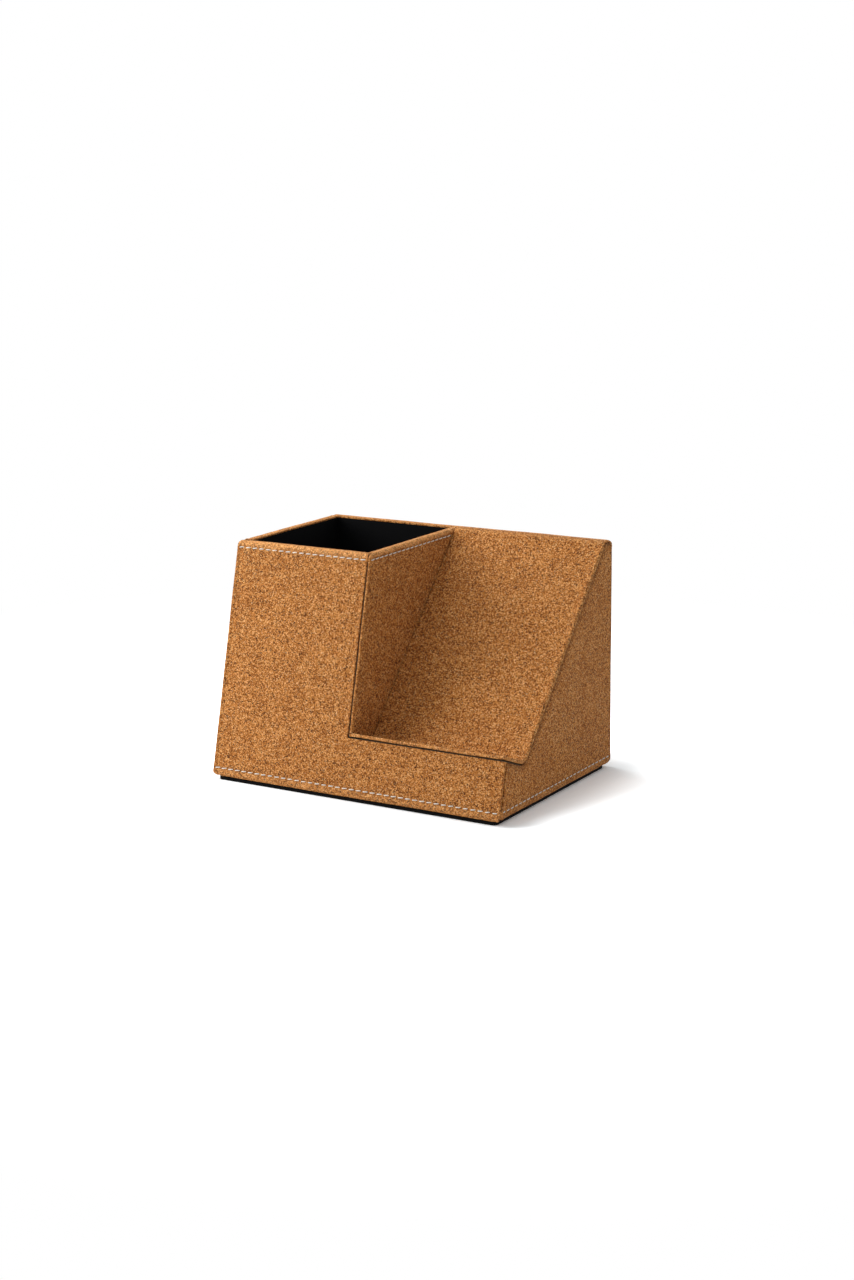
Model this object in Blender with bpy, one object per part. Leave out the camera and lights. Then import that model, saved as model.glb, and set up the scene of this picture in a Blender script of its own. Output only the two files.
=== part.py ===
"""Desktop caddy in cork-covered board with a wireless charging slope.

The box is made of greyboard panels. Cork sheets cover them outside and are turned over the rims and under the
foot, a black lining covers the upright compartment inside, and the charger sits behind the slope.
Metres, +Z up, +X to the right, +Y to the back. The origin is under the middle of the body, on the table.
Sections of pieces that run from side to side are drawn in Y and Z, those that run to the back in X and Z.
"""
import math

import bmesh
import bpy
from mathutils import Matrix, Vector
from mathutils.geometry import interpolate_bezier

# Driving sizes of the body
body_width = 0.148
caddy_width = 0.071
body_depth = 0.104
body_height = 0.1055
front_lean = math.radians(13.6)
lip_height = 0.0292
ledge_length = 0.0170
ledge_fall = math.radians(20.5)
back_top_width = 0.0079

# Sheets and boards
cork_thickness = 0.0008
board_thickness = 0.0020
slope_board_thickness = 0.0025
lining_thickness = 0.0006
glue_gap = 0.0003
base_sheet_thickness = 0.0013
base_sheet_inset = 0.0022
base_sheet_front_inset = 0.0010
base_sheet_corner = 0.0020
turn_under = 0.0100
foot_radius = 0.0020
rim_radius = 0.0015
foot_corner_radius = 0.0024
rim_corner_radius = 0.0018
cut_edge_radius = 0.0003
hem_thickness = 0.0015
hem_width = 0.0035
hem_radius = 0.0006
seat_radius = 0.0010
tight_fold_share = 2.0

# Charging coil, in its carrier behind the slope
coil_distance = 0.0600
coil_wire = 0.0010
coil_pitch = 0.0016
coil_hole_share = 0.47
coil_steps = 24
coil_bend_radius = 0.0015
bend_steps = 5
coil_tail = 0.0010
wire_hole_clearance = 0.0004
ferrite_margin = 0.0025
ferrite_thickness = 0.0012
carrier_clearance = 0.0012
carrier_wall = 0.0012
carrier_floor = 0.0022
carrier_flange = 0.0050
carrier_side_clearance = 0.0044
window_clearance = 0.0003
tape_thickness = 0.0010

# Circuit board, its bracket and what is mounted on it
circuit_width = 0.0400
circuit_length = 0.0280
circuit_thickness = 0.0016
circuit_corner = 0.0015
circuit_back_clearance = 0.0008
bracket_thickness = 0.0015
bracket_margin = 0.0020
bracket_corner = 0.0020
post_height = 0.0030
post_radius = 0.0025
post_inset = 0.0040
screw_hole_clearance = 0.0003
screw_shank_radius = 0.0010
screw_shank_length = 0.0040
screw_head_radius = 0.0019
screw_head_height = 0.0013
screw_head_crown = 0.0004
chip_side = 0.0070
chip_height = 0.0009
chip_corner = 0.0003
inductor_side = 0.0070
inductor_height = 0.0040
inductor_corner = 0.0016
capacitor_length = 0.0045
capacitor_width = 0.0020
capacitor_height = 0.0018
capacitor_pitch = 0.0030
capacitor_count = 4
component_corner = 0.0002

# Power inlet in the back
socket_width = 0.00894
socket_height = 0.00326
socket_length = 0.0073
socket_wall = 0.0003
socket_back_wall = 0.0012
tongue_width = 0.0066
tongue_thickness = 0.0007
tongue_recess = 0.0010
tongue_root_height = 0.0020
tongue_root_length = 0.0016
bezel_opening_width = 0.0124
bezel_opening_height = 0.0066
bezel_opening_corner = 0.0022
bezel_wall = 0.0008

# Leads from the coil to the circuit board
lead_diameter = 0.0012
lead_bow = 0.0160
lead_drop = 0.0120
lead_steps = 24

overrun = 0.0050
smooth_below = math.radians(30)
fold_segments = 5
round_segments = 48
small_round_segments = 20

# Places that follow from the sizes
left = -body_width / 2
right = body_width / 2
back = body_depth / 2
caddy_right = left + caddy_width
bay_left = caddy_right - cork_thickness
bay_middle = (bay_left + right) / 2
tray_left = caddy_right + glue_gap
skin_foot = base_sheet_thickness + glue_gap
board_inset = cork_thickness + glue_gap
lining_inset = board_inset + board_thickness + glue_gap
wall = lining_inset + lining_thickness
board_foot = skin_foot + board_inset
board_top = body_height - board_inset
base_top = board_foot + board_thickness
floor_top = base_top + glue_gap + lining_thickness
back_inner = back - lining_inset


def finish(name, colour, roughness, metallic=0.0):
    """A material with one Principled BSDF."""
    material = bpy.data.materials.new(name)
    material.use_nodes = True
    shader = material.node_tree.nodes["Principled BSDF"]
    shader.inputs["Base Color"].default_value = (*colour, 1.0)
    shader.inputs["Roughness"].default_value = roughness
    shader.inputs["Metallic"].default_value = metallic
    material.diffuse_color = (*colour, 1.0)
    return material


class Line:
    """A straight line in a section: a point on it and the angle of its direction."""

    def __init__(self, point, angle):
        self.point = Vector(point)
        self.angle = angle
        self.along = Vector((math.cos(angle), math.sin(angle)))

    def moved(self, distance):
        """The parallel line this far to the right of the direction, which is inwards on every face here."""
        to_right = Vector((self.along.y, -self.along.x))
        return Line(self.point + to_right * distance, self.angle)

    def at_height(self, height):
        return self.point + self.along * ((height - self.point.y) / self.along.y)

    def meet(self, other):
        offset = other.point - self.point
        crossing = self.along.x * other.along.y - self.along.y * other.along.x
        return self.point + self.along * ((offset.x * other.along.y - offset.y * other.along.x) / crossing)


def line_through(start, end):
    step = Vector(end) - Vector(start)
    return Line(start, math.atan2(step.y, step.x))


def rounded(corners, radii, segments=fold_segments):
    """A closed outline with each corner rounded to its radius; zero leaves the corner sharp."""
    corners = [Vector(corner) for corner in corners]
    outline = []
    for number, (corner, radius) in enumerate(zip(corners, radii)):
        if radius <= 0:
            outline.append(corner)
            continue
        before = (corners[number - 1] - corner).normalized()
        after = (corners[(number + 1) % len(corners)] - corner).normalized()
        half = before.angle(after) / 2
        centre = corner + (before + after).normalized() * (radius / math.sin(half))
        first = corner + before * (radius / math.tan(half)) - centre
        last = corner + after * (radius / math.tan(half)) - centre
        turn = math.atan2(first.x * last.y - first.y * last.x, first.dot(last))
        for step in range(segments + 1):
            outline.append(centre + Matrix.Rotation(turn * step / segments, 2) @ first)
    return outline


def folded_sheet(path, radii, thickness):
    """The section of a folded sheet: its outer face follows the path, its thickness lies on the path's right.

    The radii are those of the outer face at the path's points; the end points' radii round the cut edges.
    Inside, a fold is pressed tight round the board's sharp edge.
    """
    faces = [line_through(start, end) for start, end in zip(path, path[1:])]
    inner_faces = [face.moved(thickness) for face in faces]
    inner = [inner_faces[0].point]
    inner_radii = [radii[0]]
    for number in range(1, len(faces)):
        inner.append(inner_faces[number - 1].meet(inner_faces[number]))
        before, after = faces[number - 1].along, faces[number].along
        turns_inwards = before.x * after.y - before.y * after.x < 0
        tight = min(radii[number] - thickness, glue_gap * tight_fold_share)
        inner_radii.append(max(tight, 0) if turns_inwards else radii[number] + thickness)
    inner.append(Vector(path[-1]) + inner_faces[-1].point - faces[-1].point)
    inner_radii.append(radii[-1])
    return rounded([*path, *reversed(inner)], [*radii, *reversed(inner_radii)])


def box_outline(low, high, radius=0.0):
    """A rectangle between two corners, with round corners where a radius is given."""
    corners = [(low[0], low[1]), (high[0], low[1]), (high[0], high[1]), (low[0], high[1])]
    return rounded(corners, [radius] * len(corners))


def add_object(name, mesh, material, parent):
    obj = bpy.data.objects.new(name, mesh)
    bpy.context.scene.collection.objects.link(obj)
    if material:
        mesh.materials.append(material)
    obj.parent = parent
    return obj


def prism(name, outline, axis, start, end, material=None, parent=None):
    """Extrudes a section along an axis: X takes it in Y and Z, Y in X and Z, and Z in X and Y."""
    along = Vector([float(letter == axis) for letter in "XYZ"])
    across = [number for number, letter in enumerate("XYZ") if letter != axis]
    bm = bmesh.new()
    corners = []
    for point in outline:
        place = [0.0, 0.0, 0.0]
        place[across[0]], place[across[1]] = point
        corners.append(bm.verts.new(place))
    section = bm.faces.new(corners)
    grown = bmesh.ops.extrude_face_region(bm, geom=[section])
    moved = [item for item in grown["geom"] if isinstance(item, bmesh.types.BMVert)]
    bmesh.ops.translate(bm, verts=moved, vec=along * (end - start))
    bmesh.ops.recalc_face_normals(bm, faces=bm.faces)
    mesh = bpy.data.meshes.new(name)
    bm.to_mesh(mesh)
    bm.free()
    obj = add_object(name, mesh, material, parent)
    obj.location = along * start
    return obj


def turned(name, profile, material=None, parent=None, segments=round_segments, closed=False):
    """Turns a profile of radius and height about Z. A closed profile makes a ring, an open one starts and
    ends on the axis."""
    bm = bmesh.new()
    points = [bm.verts.new((radius, 0, height)) for radius, height in profile]
    edges = [bm.edges.new(pair) for pair in zip(points, points[1:])]
    if closed:
        edges.append(bm.edges.new((points[-1], points[0])))
    bmesh.ops.spin(bm, geom=[*points, *edges], axis=(0, 0, 1), cent=(0, 0, 0), angle=math.tau,
                   steps=segments, use_merge=True)
    bmesh.ops.remove_doubles(bm, verts=bm.verts, dist=cut_edge_radius / segments)
    bmesh.ops.recalc_face_normals(bm, faces=bm.faces)
    mesh = bpy.data.meshes.new(name)
    bm.to_mesh(mesh)
    bm.free()
    mesh.shade_smooth()
    mesh.set_sharp_from_angle(angle=smooth_below)
    return add_object(name, mesh, material, parent)


def wire(name, points, diameter, bevel_resolution, material, parent=None):
    """A round wire along points."""
    curve = bpy.data.curves.new(name, "CURVE")
    curve.dimensions = "3D"
    curve.bevel_depth = diameter / 2
    curve.bevel_resolution = bevel_resolution
    curve.use_fill_caps = True
    spline = curve.splines.new("POLY")
    spline.points.add(len(points) - 1)
    for spline_point, point in zip(spline.points, points):
        spline_point.co = (*point, 1.0)
    return add_object(name, curve, material, parent)


def as_cutter(obj):
    obj.hide_render = True
    obj.display_type = "WIRE"
    return obj


def cut(piece, *cutters):
    """Takes each cutter away from a piece."""
    for cutter in cutters:
        modifier = piece.modifiers.new(cutter.name, "BOOLEAN")
        modifier.operation = "DIFFERENCE"
        modifier.object = cutter


# The faces of the body, as lines in Y and Z
foot_half_angle = (math.pi / 2 - front_lean) / 2
foot_setback = foot_radius / math.tan(foot_half_angle) - foot_radius
front_face = Line((-body_depth / 2 - foot_setback, skin_foot), math.pi / 2 - front_lean)
ledge_face = Line(front_face.at_height(lip_height), -ledge_fall)
seat = ledge_face.point + ledge_face.along * ledge_length
slope_face = line_through(seat, (back - back_top_width, body_height))
front_inner = front_face.moved(lining_inset)
front_cap_end = front_face.moved(wall).at_height(body_height).x
bay_cap_end = slope_face.moved(hem_thickness).at_height(body_height).x + glue_gap


def tray_corner(distance):
    """Where ledge and slope meet, this far under their faces."""
    return ledge_face.moved(distance).meet(slope_face.moved(distance))


def bay_cutter():
    """Everything above the tray and right of the divider."""
    under = hem_thickness + glue_gap
    top = body_height + overrun
    ahead = Line((front_face.point.x - overrun, skin_foot), math.pi / 2)
    outline = [
        ledge_face.moved(under).meet(ahead),
        tray_corner(under),
        slope_face.moved(under).at_height(top),
        ahead.at_height(top),
    ]
    return as_cutter(prism("bay_cutter", outline, "X", bay_left - glue_gap, right + overrun))


def front_skin_cutter(name, start, end):
    """The room that the front skin takes at the side skins' ends: its face, its foot and its cap."""
    inside = front_face.moved(board_inset)
    low = skin_foot - overrun
    high = body_height + overrun
    ahead = front_face.point.x - overrun
    foot_end = front_face.point.x + turn_under + glue_gap
    cap_end = front_cap_end + glue_gap
    outline = [
        (ahead, low), (foot_end, low), (foot_end, board_foot), inside.at_height(board_foot),
        inside.at_height(board_top), (cap_end, board_top), (cap_end, high), (ahead, high),
    ]
    return as_cutter(prism(name, outline, "X", start, end))


def back_skin_cutter(name, cap_end, start, end):
    """The room that the back skin takes at the side skins' ends."""
    low = skin_foot - overrun
    high = body_height + overrun
    inside = back - board_inset
    behind = back + overrun
    foot_end = back - turn_under - glue_gap
    outline = [
        (foot_end, low), (behind, low), (behind, high), (cap_end - glue_gap, high),
        (cap_end - glue_gap, board_top), (inside, board_top), (inside, board_foot), (foot_end, board_foot),
    ]
    return as_cutter(prism(name, outline, "X", start, end))


def corner_cutters():
    """What the round corners of the body's front view leave away, for the two skins that run across it."""
    cutters = []
    for side, outer in (("left", left), ("right", right)):
        inwards = math.copysign(1, -outer)
        for place, level, radius in (("foot", skin_foot, foot_corner_radius),
                                     ("rim", body_height, rim_corner_radius)):
            upwards = 1 if level == skin_foot else -1
            arc = rounded([(0, overrun), (0, 0), (overrun, 0)], [0, radius, 0])[1:-1]
            arc[0] = 2 * arc[0] - arc[1]
            arc[-1] = 2 * arc[-1] - arc[-2]
            around = [(arc[-1].x, -overrun), (-overrun, -overrun), (-overrun, arc[0].y)]
            outline = [(outer + inwards * x, level + upwards * z) for x, z in [*arc, *around]]
            cutters.append(as_cutter(prism(f"{side}_{place}_corner_cutter", outline, "Y",
                                           front_face.point.x - overrun, back + overrun)))
    return cutters


def make_base_sheet(black_sheet):
    low = (left + base_sheet_inset, -body_depth / 2 + base_sheet_front_inset)
    high = (right - base_sheet_inset, back - base_sheet_inset)
    outline = box_outline(low, high, base_sheet_corner)
    prism("base_sheet", outline, "Z", 0, base_sheet_thickness, black_sheet)


def make_boards(greyboard, bay, port):
    """The box under the skins."""
    front = front_face.moved(board_inset)
    front_outline = [
        front.at_height(board_foot), front_inner_edge(board_foot),
        front_inner_edge(board_top), front.at_height(board_top),
    ]
    front_board = prism("front_board", front_outline, "X", left + board_inset, right - board_inset, greyboard)
    cut(front_board, bay)

    back_outline = box_outline((left + board_inset, board_foot), (right - board_inset, board_top))
    back_face = back - board_inset
    back_board = prism("back_board", back_outline, "Y", back_face - board_thickness, back_face, greyboard)
    cut(back_board, port)

    side_start = left + board_inset
    prism("left_board", between_ends(board_foot, board_top), "X",
          side_start, side_start + board_thickness, greyboard)
    side_end = right - board_inset
    right_board = prism("right_board", between_ends(board_foot, board_top), "X",
                        side_end - board_thickness, side_end, greyboard)
    cut(right_board, bay)

    prism("base_board", between_ends(board_foot, base_top), "X",
          left + lining_inset, right - lining_inset, greyboard)
    divider_face = bay_left - glue_gap
    prism("divider_board", between_ends(base_top + glue_gap, board_top), "X",
          divider_face - board_thickness, divider_face, greyboard)


def front_inner_edge(height):
    """The inner face of the front board."""
    return front_face.moved(board_inset + board_thickness).at_height(height)


def between_ends(low, high):
    """The outline of a panel that stands between the front board and the back board."""
    return [front_inner.at_height(low), (back_inner, low), (back_inner, high), front_inner.at_height(high)]


def make_tray_boards(greyboard, frame):
    """The slope board, with its window for the coil, and the ledge board in front of it."""
    start, end = tray_left, right - hem_width - glue_gap
    slope_top = slope_face.moved(board_inset)
    slope_under = slope_face.moved(board_inset + slope_board_thickness)
    ledge_top = ledge_face.moved(board_inset)
    ledge_under = ledge_face.moved(board_inset + board_thickness)
    foot = ledge_face.moved(board_inset - glue_gap)
    height = body_height - hem_width - glue_gap
    slope_outline = [
        slope_top.meet(foot), slope_under.meet(foot),
        slope_under.at_height(height), slope_top.at_height(height),
    ]
    slope_board = prism("slope_board", slope_outline, "X", start, end, greyboard)
    window_low, window_high = -board_inset - slope_board_thickness - overrun, overrun
    window = turned("window_cutter", [
        (0, window_low), (window_radius, window_low), (window_radius, window_high), (0, window_high),
    ], parent=frame)
    cut(slope_board, as_cutter(window))

    front_end = front_face.moved(hem_width + glue_gap)
    ledge_outline = [
        ledge_top.meet(front_end), ledge_under.meet(front_end),
        ledge_under.meet(slope_under), ledge_top.meet(slope_under),
    ]
    prism("ledge_board", ledge_outline, "X", start, end, greyboard)


def make_front_cork(cork, bay, corners):
    """One L-shaped sheet, turned under the foot and over the compartment's rim."""
    path = [
        Vector((front_face.point.x + turn_under, skin_foot)),
        front_face.at_height(skin_foot),
        front_face.at_height(body_height),
        Vector((front_cap_end, body_height)),
    ]
    section = folded_sheet(path, [0, foot_radius, rim_radius, cut_edge_radius], cork_thickness)
    front_cork = prism("front_cork", section, "X", left, right, cork)
    cut(front_cork, bay, *corners)


def make_back_cork(cork, port, corners):
    """Turned over the flat behind the slope, with a shorter turn over the compartment's rim."""
    path = [
        Vector((bay_cap_end, body_height)),
        Vector((back, body_height)),
        Vector((back, skin_foot)),
        Vector((back - turn_under, skin_foot)),
    ]
    section = folded_sheet(path, [cut_edge_radius, rim_radius, foot_radius, 0], cork_thickness)
    back_cork = prism("back_cork", section, "X", left, right, cork)
    trim_outline = box_outline((bay_cap_end - overrun, board_top), (back - wall, body_height + overrun))
    trim = as_cutter(prism("rim_trim_cutter", trim_outline, "X", left - overrun, bay_left))
    cut(back_cork, trim, port, *corners)


def make_side_corks(cork, bay):
    """The left skin is turned over the rim, the right one ends under the tray's hem."""
    front_room = front_skin_cutter("front_skin_cutter", left - overrun, right + overrun)
    path = [
        Vector((left + turn_under, skin_foot)), Vector((left, skin_foot)),
        Vector((left, body_height)), Vector((left + wall, body_height)),
    ]
    section = folded_sheet(path, [0, foot_radius, rim_radius, cut_edge_radius], cork_thickness)
    left_cork = prism("left_cork", section, "Y", front_face.point.x, back, cork)
    cut(left_cork, front_room, back_skin_cutter("back_left_cutter", back - wall, left - overrun, caddy_right))

    path = [
        Vector((right, body_height + overrun)),
        Vector((right, skin_foot)),
        Vector((right - turn_under, skin_foot)),
    ]
    section = folded_sheet(path, [0, foot_radius, 0], cork_thickness)
    right_cork = prism("right_cork", section, "Y", front_face.point.x, back, cork)
    back_room = back_skin_cutter("back_right_cutter", bay_cap_end, caddy_right + overrun, right + overrun)
    cut(right_cork, front_room, back_room, bay)


def make_divider_cork(cork):
    """The skin on the bay side of the divider, flush with the front. The tray ends against its foot."""
    path = [
        Vector((caddy_right - wall, body_height)),
        Vector((caddy_right, body_height)),
        Vector((caddy_right, base_top)),
    ]
    section = folded_sheet(path, [cut_edge_radius, rim_radius, 0], cork_thickness)
    divider_cork = prism("divider_cork", section, "Y", front_face.point.x, back, cork)
    high = body_height + overrun
    ahead = Line((front_face.point.x - overrun, skin_foot), math.pi / 2)
    front_outline = [front_face.at_height(skin_foot), front_face.at_height(high), ahead.at_height(high),
                     ahead.at_height(skin_foot)]
    start, end = caddy_right - wall - overrun, caddy_right + overrun
    front_trim = as_cutter(prism("front_trim_cutter", front_outline, "X", start, end))
    front_room = front_skin_cutter("front_cap_cutter", start, bay_left)
    back_room = back_skin_cutter("back_divider_cutter", back - wall, start, end)
    behind = Line((back + overrun, skin_foot), math.pi / 2)
    tray_outline = [
        ledge_face.moved(hem_thickness).meet(ahead), tray_corner(hem_thickness),
        slope_face.moved(hem_thickness).at_height(high), behind.at_height(high),
        behind.at_height(base_top - overrun), ahead.at_height(base_top - overrun),
    ]
    tray_room = as_cutter(prism("tray_room_cutter", tray_outline, "X", bay_left - glue_gap, end))
    cut(divider_cork, front_trim, front_room, back_room, tray_room)


def make_tray_cork(cork):
    """One sheet over ledge and slope, twice as thick where its free edges are turned under."""
    outline = [
        front_face.meet(ledge_face), tray_corner(0), slope_face.at_height(body_height),
        slope_face.moved(hem_thickness).at_height(body_height), tray_corner(hem_thickness),
        front_face.meet(ledge_face.moved(hem_thickness)),
    ]
    radii = [hem_radius, seat_radius, cut_edge_radius, 0, seat_radius + hem_thickness, hem_radius]
    section = rounded(outline, radii)
    tray_cork = prism("tray_cork", section, "X", tray_left, right, cork)
    deep = hem_thickness + overrun
    hem_line = front_face.moved(hem_width)
    hem_top = body_height - hem_width
    relief_outline = [
        ledge_face.moved(cork_thickness).meet(hem_line), tray_corner(cork_thickness),
        slope_face.moved(cork_thickness).at_height(hem_top), slope_face.moved(deep).at_height(hem_top),
        tray_corner(deep), ledge_face.moved(deep).meet(hem_line),
    ]
    relief_outline = rounded(relief_outline, [0, seat_radius + cork_thickness, 0, 0, 0, 0])
    relief_start, relief_end = tray_left - overrun, right - hem_width
    cut(tray_cork, as_cutter(prism("hem_relief_cutter", relief_outline, "X", relief_start, relief_end)))


def make_lining(lining):
    """Black sheets on the compartment's four walls and its floor."""
    start, end = left + lining_inset, bay_left - glue_gap - board_thickness - glue_gap
    low = floor_top + glue_gap
    front_outline = [
        front_inner.at_height(low), front_face.moved(wall).at_height(low),
        front_face.moved(wall).at_height(board_top), front_inner.at_height(board_top),
    ]
    prism("lining_front", front_outline, "X", start, end, lining)
    back_outline = box_outline((back - wall, low), (back_inner, board_top))
    prism("lining_back", back_outline, "X", start, end, lining)
    behind_front = front_face.moved(wall + glue_gap)
    side_outline = [
        behind_front.at_height(low), (back - wall - glue_gap, low),
        (back - wall - glue_gap, board_top), behind_front.at_height(board_top),
    ]
    prism("lining_left", side_outline, "X", start, start + lining_thickness, lining)
    prism("lining_divider", side_outline, "X", end - lining_thickness, end, lining)
    prism("lining_floor", between_ends(base_top + glue_gap, floor_top), "X", start, end, lining)


# The charger is as wide as the bay lets it be
flange_radius = right - board_inset - board_thickness - bay_middle - carrier_side_clearance
carrier_radius = flange_radius - carrier_flange
window_radius = carrier_radius + window_clearance
dish_radius = carrier_radius - carrier_wall
ferrite_radius = dish_radius - carrier_clearance
coil_outer_radius = ferrite_radius - ferrite_margin
coil_turns = int((1 - coil_hole_share) * coil_outer_radius / coil_pitch)

# The charger's own frame has its origin on the slope over the coil, Y up the slope and Z out of it
coil_top = -board_inset - glue_gap
coil_level = coil_top - coil_wire / 2
ferrite_top = coil_top - coil_wire - glue_gap
dish_floor_top = ferrite_top - ferrite_thickness - glue_gap
tape_top = -board_inset - slope_board_thickness - glue_gap
flange_top = tape_top - tape_thickness - glue_gap
flange_bottom = min(flange_top, dish_floor_top) - carrier_floor
coil_end_level = flange_bottom - coil_tail


def charger_frame():
    """An empty on the slope, over the middle of the coil."""
    place = tray_corner(0) + slope_face.along * coil_distance
    frame = bpy.data.objects.new("charger_frame", None)
    bpy.context.scene.collection.objects.link(frame)
    frame.location = (bay_middle, place.x, place.y)
    frame.rotation_euler = (slope_face.angle, 0, 0)
    matrix = Matrix.Translation(frame.location) @ Matrix.Rotation(slope_face.angle, 4, "X")
    return frame, matrix


def coil_path():
    """Up through the outer hole, round the flat spiral and down through the inner hole."""
    inner_radius = coil_outer_radius - coil_turns * coil_pitch
    points = [Vector((coil_outer_radius, -coil_bend_radius, coil_end_level))]
    for step in range(bend_steps):
        turn = math.pi / 2 * step / bend_steps
        forward = -coil_bend_radius * math.cos(turn)
        rise = coil_bend_radius * (math.sin(turn) - 1)
        points.append(Vector((coil_outer_radius, forward, coil_level + rise)))
    for step in range(coil_turns * coil_steps + 1):
        turn = math.tau * step / coil_steps
        radius = coil_outer_radius - coil_pitch * turn / math.tau
        points.append(Vector((radius * math.cos(turn), radius * math.sin(turn), coil_level)))
    for step in range(1, bend_steps + 1):
        turn = math.pi / 2 * step / bend_steps
        forward = coil_bend_radius * math.sin(turn)
        fall = coil_bend_radius * (math.cos(turn) - 1)
        points.append(Vector((inner_radius, forward, coil_level + fall)))
    points.append(Vector((inner_radius, coil_bend_radius, coil_end_level)))
    return points


def least_coil_gap(points):
    """The smallest gap between stretches of the wire that are at least half a turn apart."""
    least = math.inf
    for number, point in enumerate(points):
        for other in points[number + coil_steps // 2:]:
            least = min(least, (point - other).length)
    return least - coil_wire


def make_charger(frame, matrix, black_plastic, tape, ferrite, copper):
    """Carrier, tape, ferrite and coil. Returns the two ends of the wire, in the world."""
    dish = turned("coil_carrier", [
        (0, dish_floor_top), (dish_radius, dish_floor_top),
        (dish_radius, coil_top), (carrier_radius, coil_top),
        (carrier_radius, flange_top), (flange_radius, flange_top),
        (flange_radius, flange_bottom), (0, flange_bottom),
    ], black_plastic, frame)
    turned("carrier_tape", [
        (window_radius, tape_top), (flange_radius, tape_top),
        (flange_radius, tape_top - tape_thickness), (window_radius, tape_top - tape_thickness),
    ], tape, frame, closed=True)
    disc = turned("ferrite_shield", [
        (0, ferrite_top), (ferrite_radius, ferrite_top),
        (ferrite_radius, ferrite_top - ferrite_thickness), (0, ferrite_top - ferrite_thickness),
    ], ferrite, frame)

    points = coil_path()
    wire("charging_coil", points, coil_wire, 1, copper, frame)
    print("least gap in the coil, mm:", round(least_coil_gap(points) * 1000, 3))
    hole_radius = coil_wire / 2 + wire_hole_clearance
    for name, end in (("outer_hole_cutter", points[0]), ("inner_hole_cutter", points[-1])):
        hole = as_cutter(turned(name, [
            (0, ferrite_top + overrun), (hole_radius, ferrite_top + overrun),
            (hole_radius, flange_bottom - overrun), (0, flange_bottom - overrun),
        ], parent=frame, segments=small_round_segments))
        hole.location = (end.x, end.y, 0)
        cut(dish, hole)
        cut(disc, hole)
    return matrix @ points[0], matrix @ points[-1]


# Levels of the circuit board on its bracket, and the faces that its pieces keep to
bracket_tape_low = base_top + glue_gap
bracket_low = bracket_tape_low + tape_thickness + glue_gap
bracket_high = bracket_low + bracket_thickness
post_top = bracket_high + post_height
circuit_low = post_top + glue_gap
circuit_high = circuit_low + circuit_thickness
component_low = circuit_high + glue_gap
socket_mouth = back - board_inset - board_thickness - glue_gap
socket_level = component_low + socket_height / 2
circuit_back = back_inner - circuit_back_clearance
circuit_front = circuit_back - circuit_length
socket_radius = socket_height / 2


def make_bracket(black_plastic, tape):
    """A moulded plate with two posts, taped to the base board."""
    low = (bay_middle - circuit_width / 2 - bracket_margin, circuit_front - bracket_margin)
    high = (bay_middle + circuit_width / 2 + bracket_margin, circuit_back)
    plate_outline = box_outline(low, high, bracket_corner)
    prism("bracket_tape", plate_outline, "Z", bracket_tape_low, bracket_tape_low + tape_thickness, tape)
    plate = prism("board_bracket", plate_outline, "Z", bracket_low, bracket_high, black_plastic)
    bore_radius = screw_shank_radius + screw_hole_clearance
    for number, place in enumerate(screw_places()):
        post = as_cutter(turned(f"post_{number}", [
            (0, bracket_low + glue_gap), (post_radius, bracket_low + glue_gap),
            (post_radius, post_top), (0, post_top),
        ], segments=small_round_segments))
        post.location = (place.x, place.y, 0)
        union = plate.modifiers.new(post.name, "BOOLEAN")
        union.operation = "UNION"
        union.object = post
        bore = as_cutter(turned(f"bore_{number}", [
            (0, bracket_high), (bore_radius, bracket_high),
            (bore_radius, post_top + overrun), (0, post_top + overrun),
        ], segments=small_round_segments))
        bore.location = (place.x, place.y, 0)
        cut(plate, bore)


def screw_places():
    """On the middle line of the front half of the circuit board, one near each side."""
    y = circuit_front + post_inset
    reach = circuit_width / 2 - post_inset
    return [Vector((bay_middle - reach, y)), Vector((bay_middle + reach, y))]


def make_circuit(board_green, steel, black_plastic, ceramic):
    """The circuit board, its screws and its components."""
    low = (bay_middle - circuit_width / 2, circuit_front)
    high = (bay_middle + circuit_width / 2, circuit_back)
    circuit = prism("control_board", box_outline(low, high, circuit_corner), "Z",
                    circuit_low, circuit_high, board_green)
    hole_radius = screw_shank_radius + screw_hole_clearance
    head_low = circuit_high + glue_gap
    head_high = head_low + screw_head_height
    for number, place in enumerate(screw_places(), 1):
        hole = as_cutter(turned(f"screw_hole_{number}", [
            (0, circuit_low - overrun), (hole_radius, circuit_low - overrun),
            (hole_radius, circuit_high + overrun), (0, circuit_high + overrun),
        ], segments=small_round_segments))
        hole.location = (place.x, place.y, 0)
        cut(circuit, hole)
        shank_low = head_low - screw_shank_length
        screw = turned(f"board_screw_{number}", [
            (0, shank_low), (screw_shank_radius, shank_low), (screw_shank_radius, head_low),
            (screw_head_radius, head_low), (screw_head_radius, head_high - screw_head_crown),
            (screw_head_radius - screw_head_crown, head_high), (0, head_high),
        ], steel, segments=small_round_segments)
        screw.location = (place.x, place.y, 0)

    middle = (circuit_front + circuit_back) / 2
    block("control_chip", (bay_middle, middle), (chip_side, chip_side), chip_height, chip_corner,
          black_plastic)
    block("power_inductor", (bay_middle + (circuit_width - inductor_side) / 2 - bracket_margin, middle),
          (inductor_side, inductor_side), inductor_height, inductor_corner, ceramic)
    row_start = middle - capacitor_pitch * (capacitor_count - 1) / 2
    row_x = bay_middle - (circuit_width - capacitor_length) / 2 + bracket_margin
    for number in range(capacitor_count):
        place = (row_x, row_start + capacitor_pitch * number)
        block(f"resonant_capacitor_{number + 1}", place, (capacitor_length, capacitor_width),
              capacitor_height, component_corner, ceramic)


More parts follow.
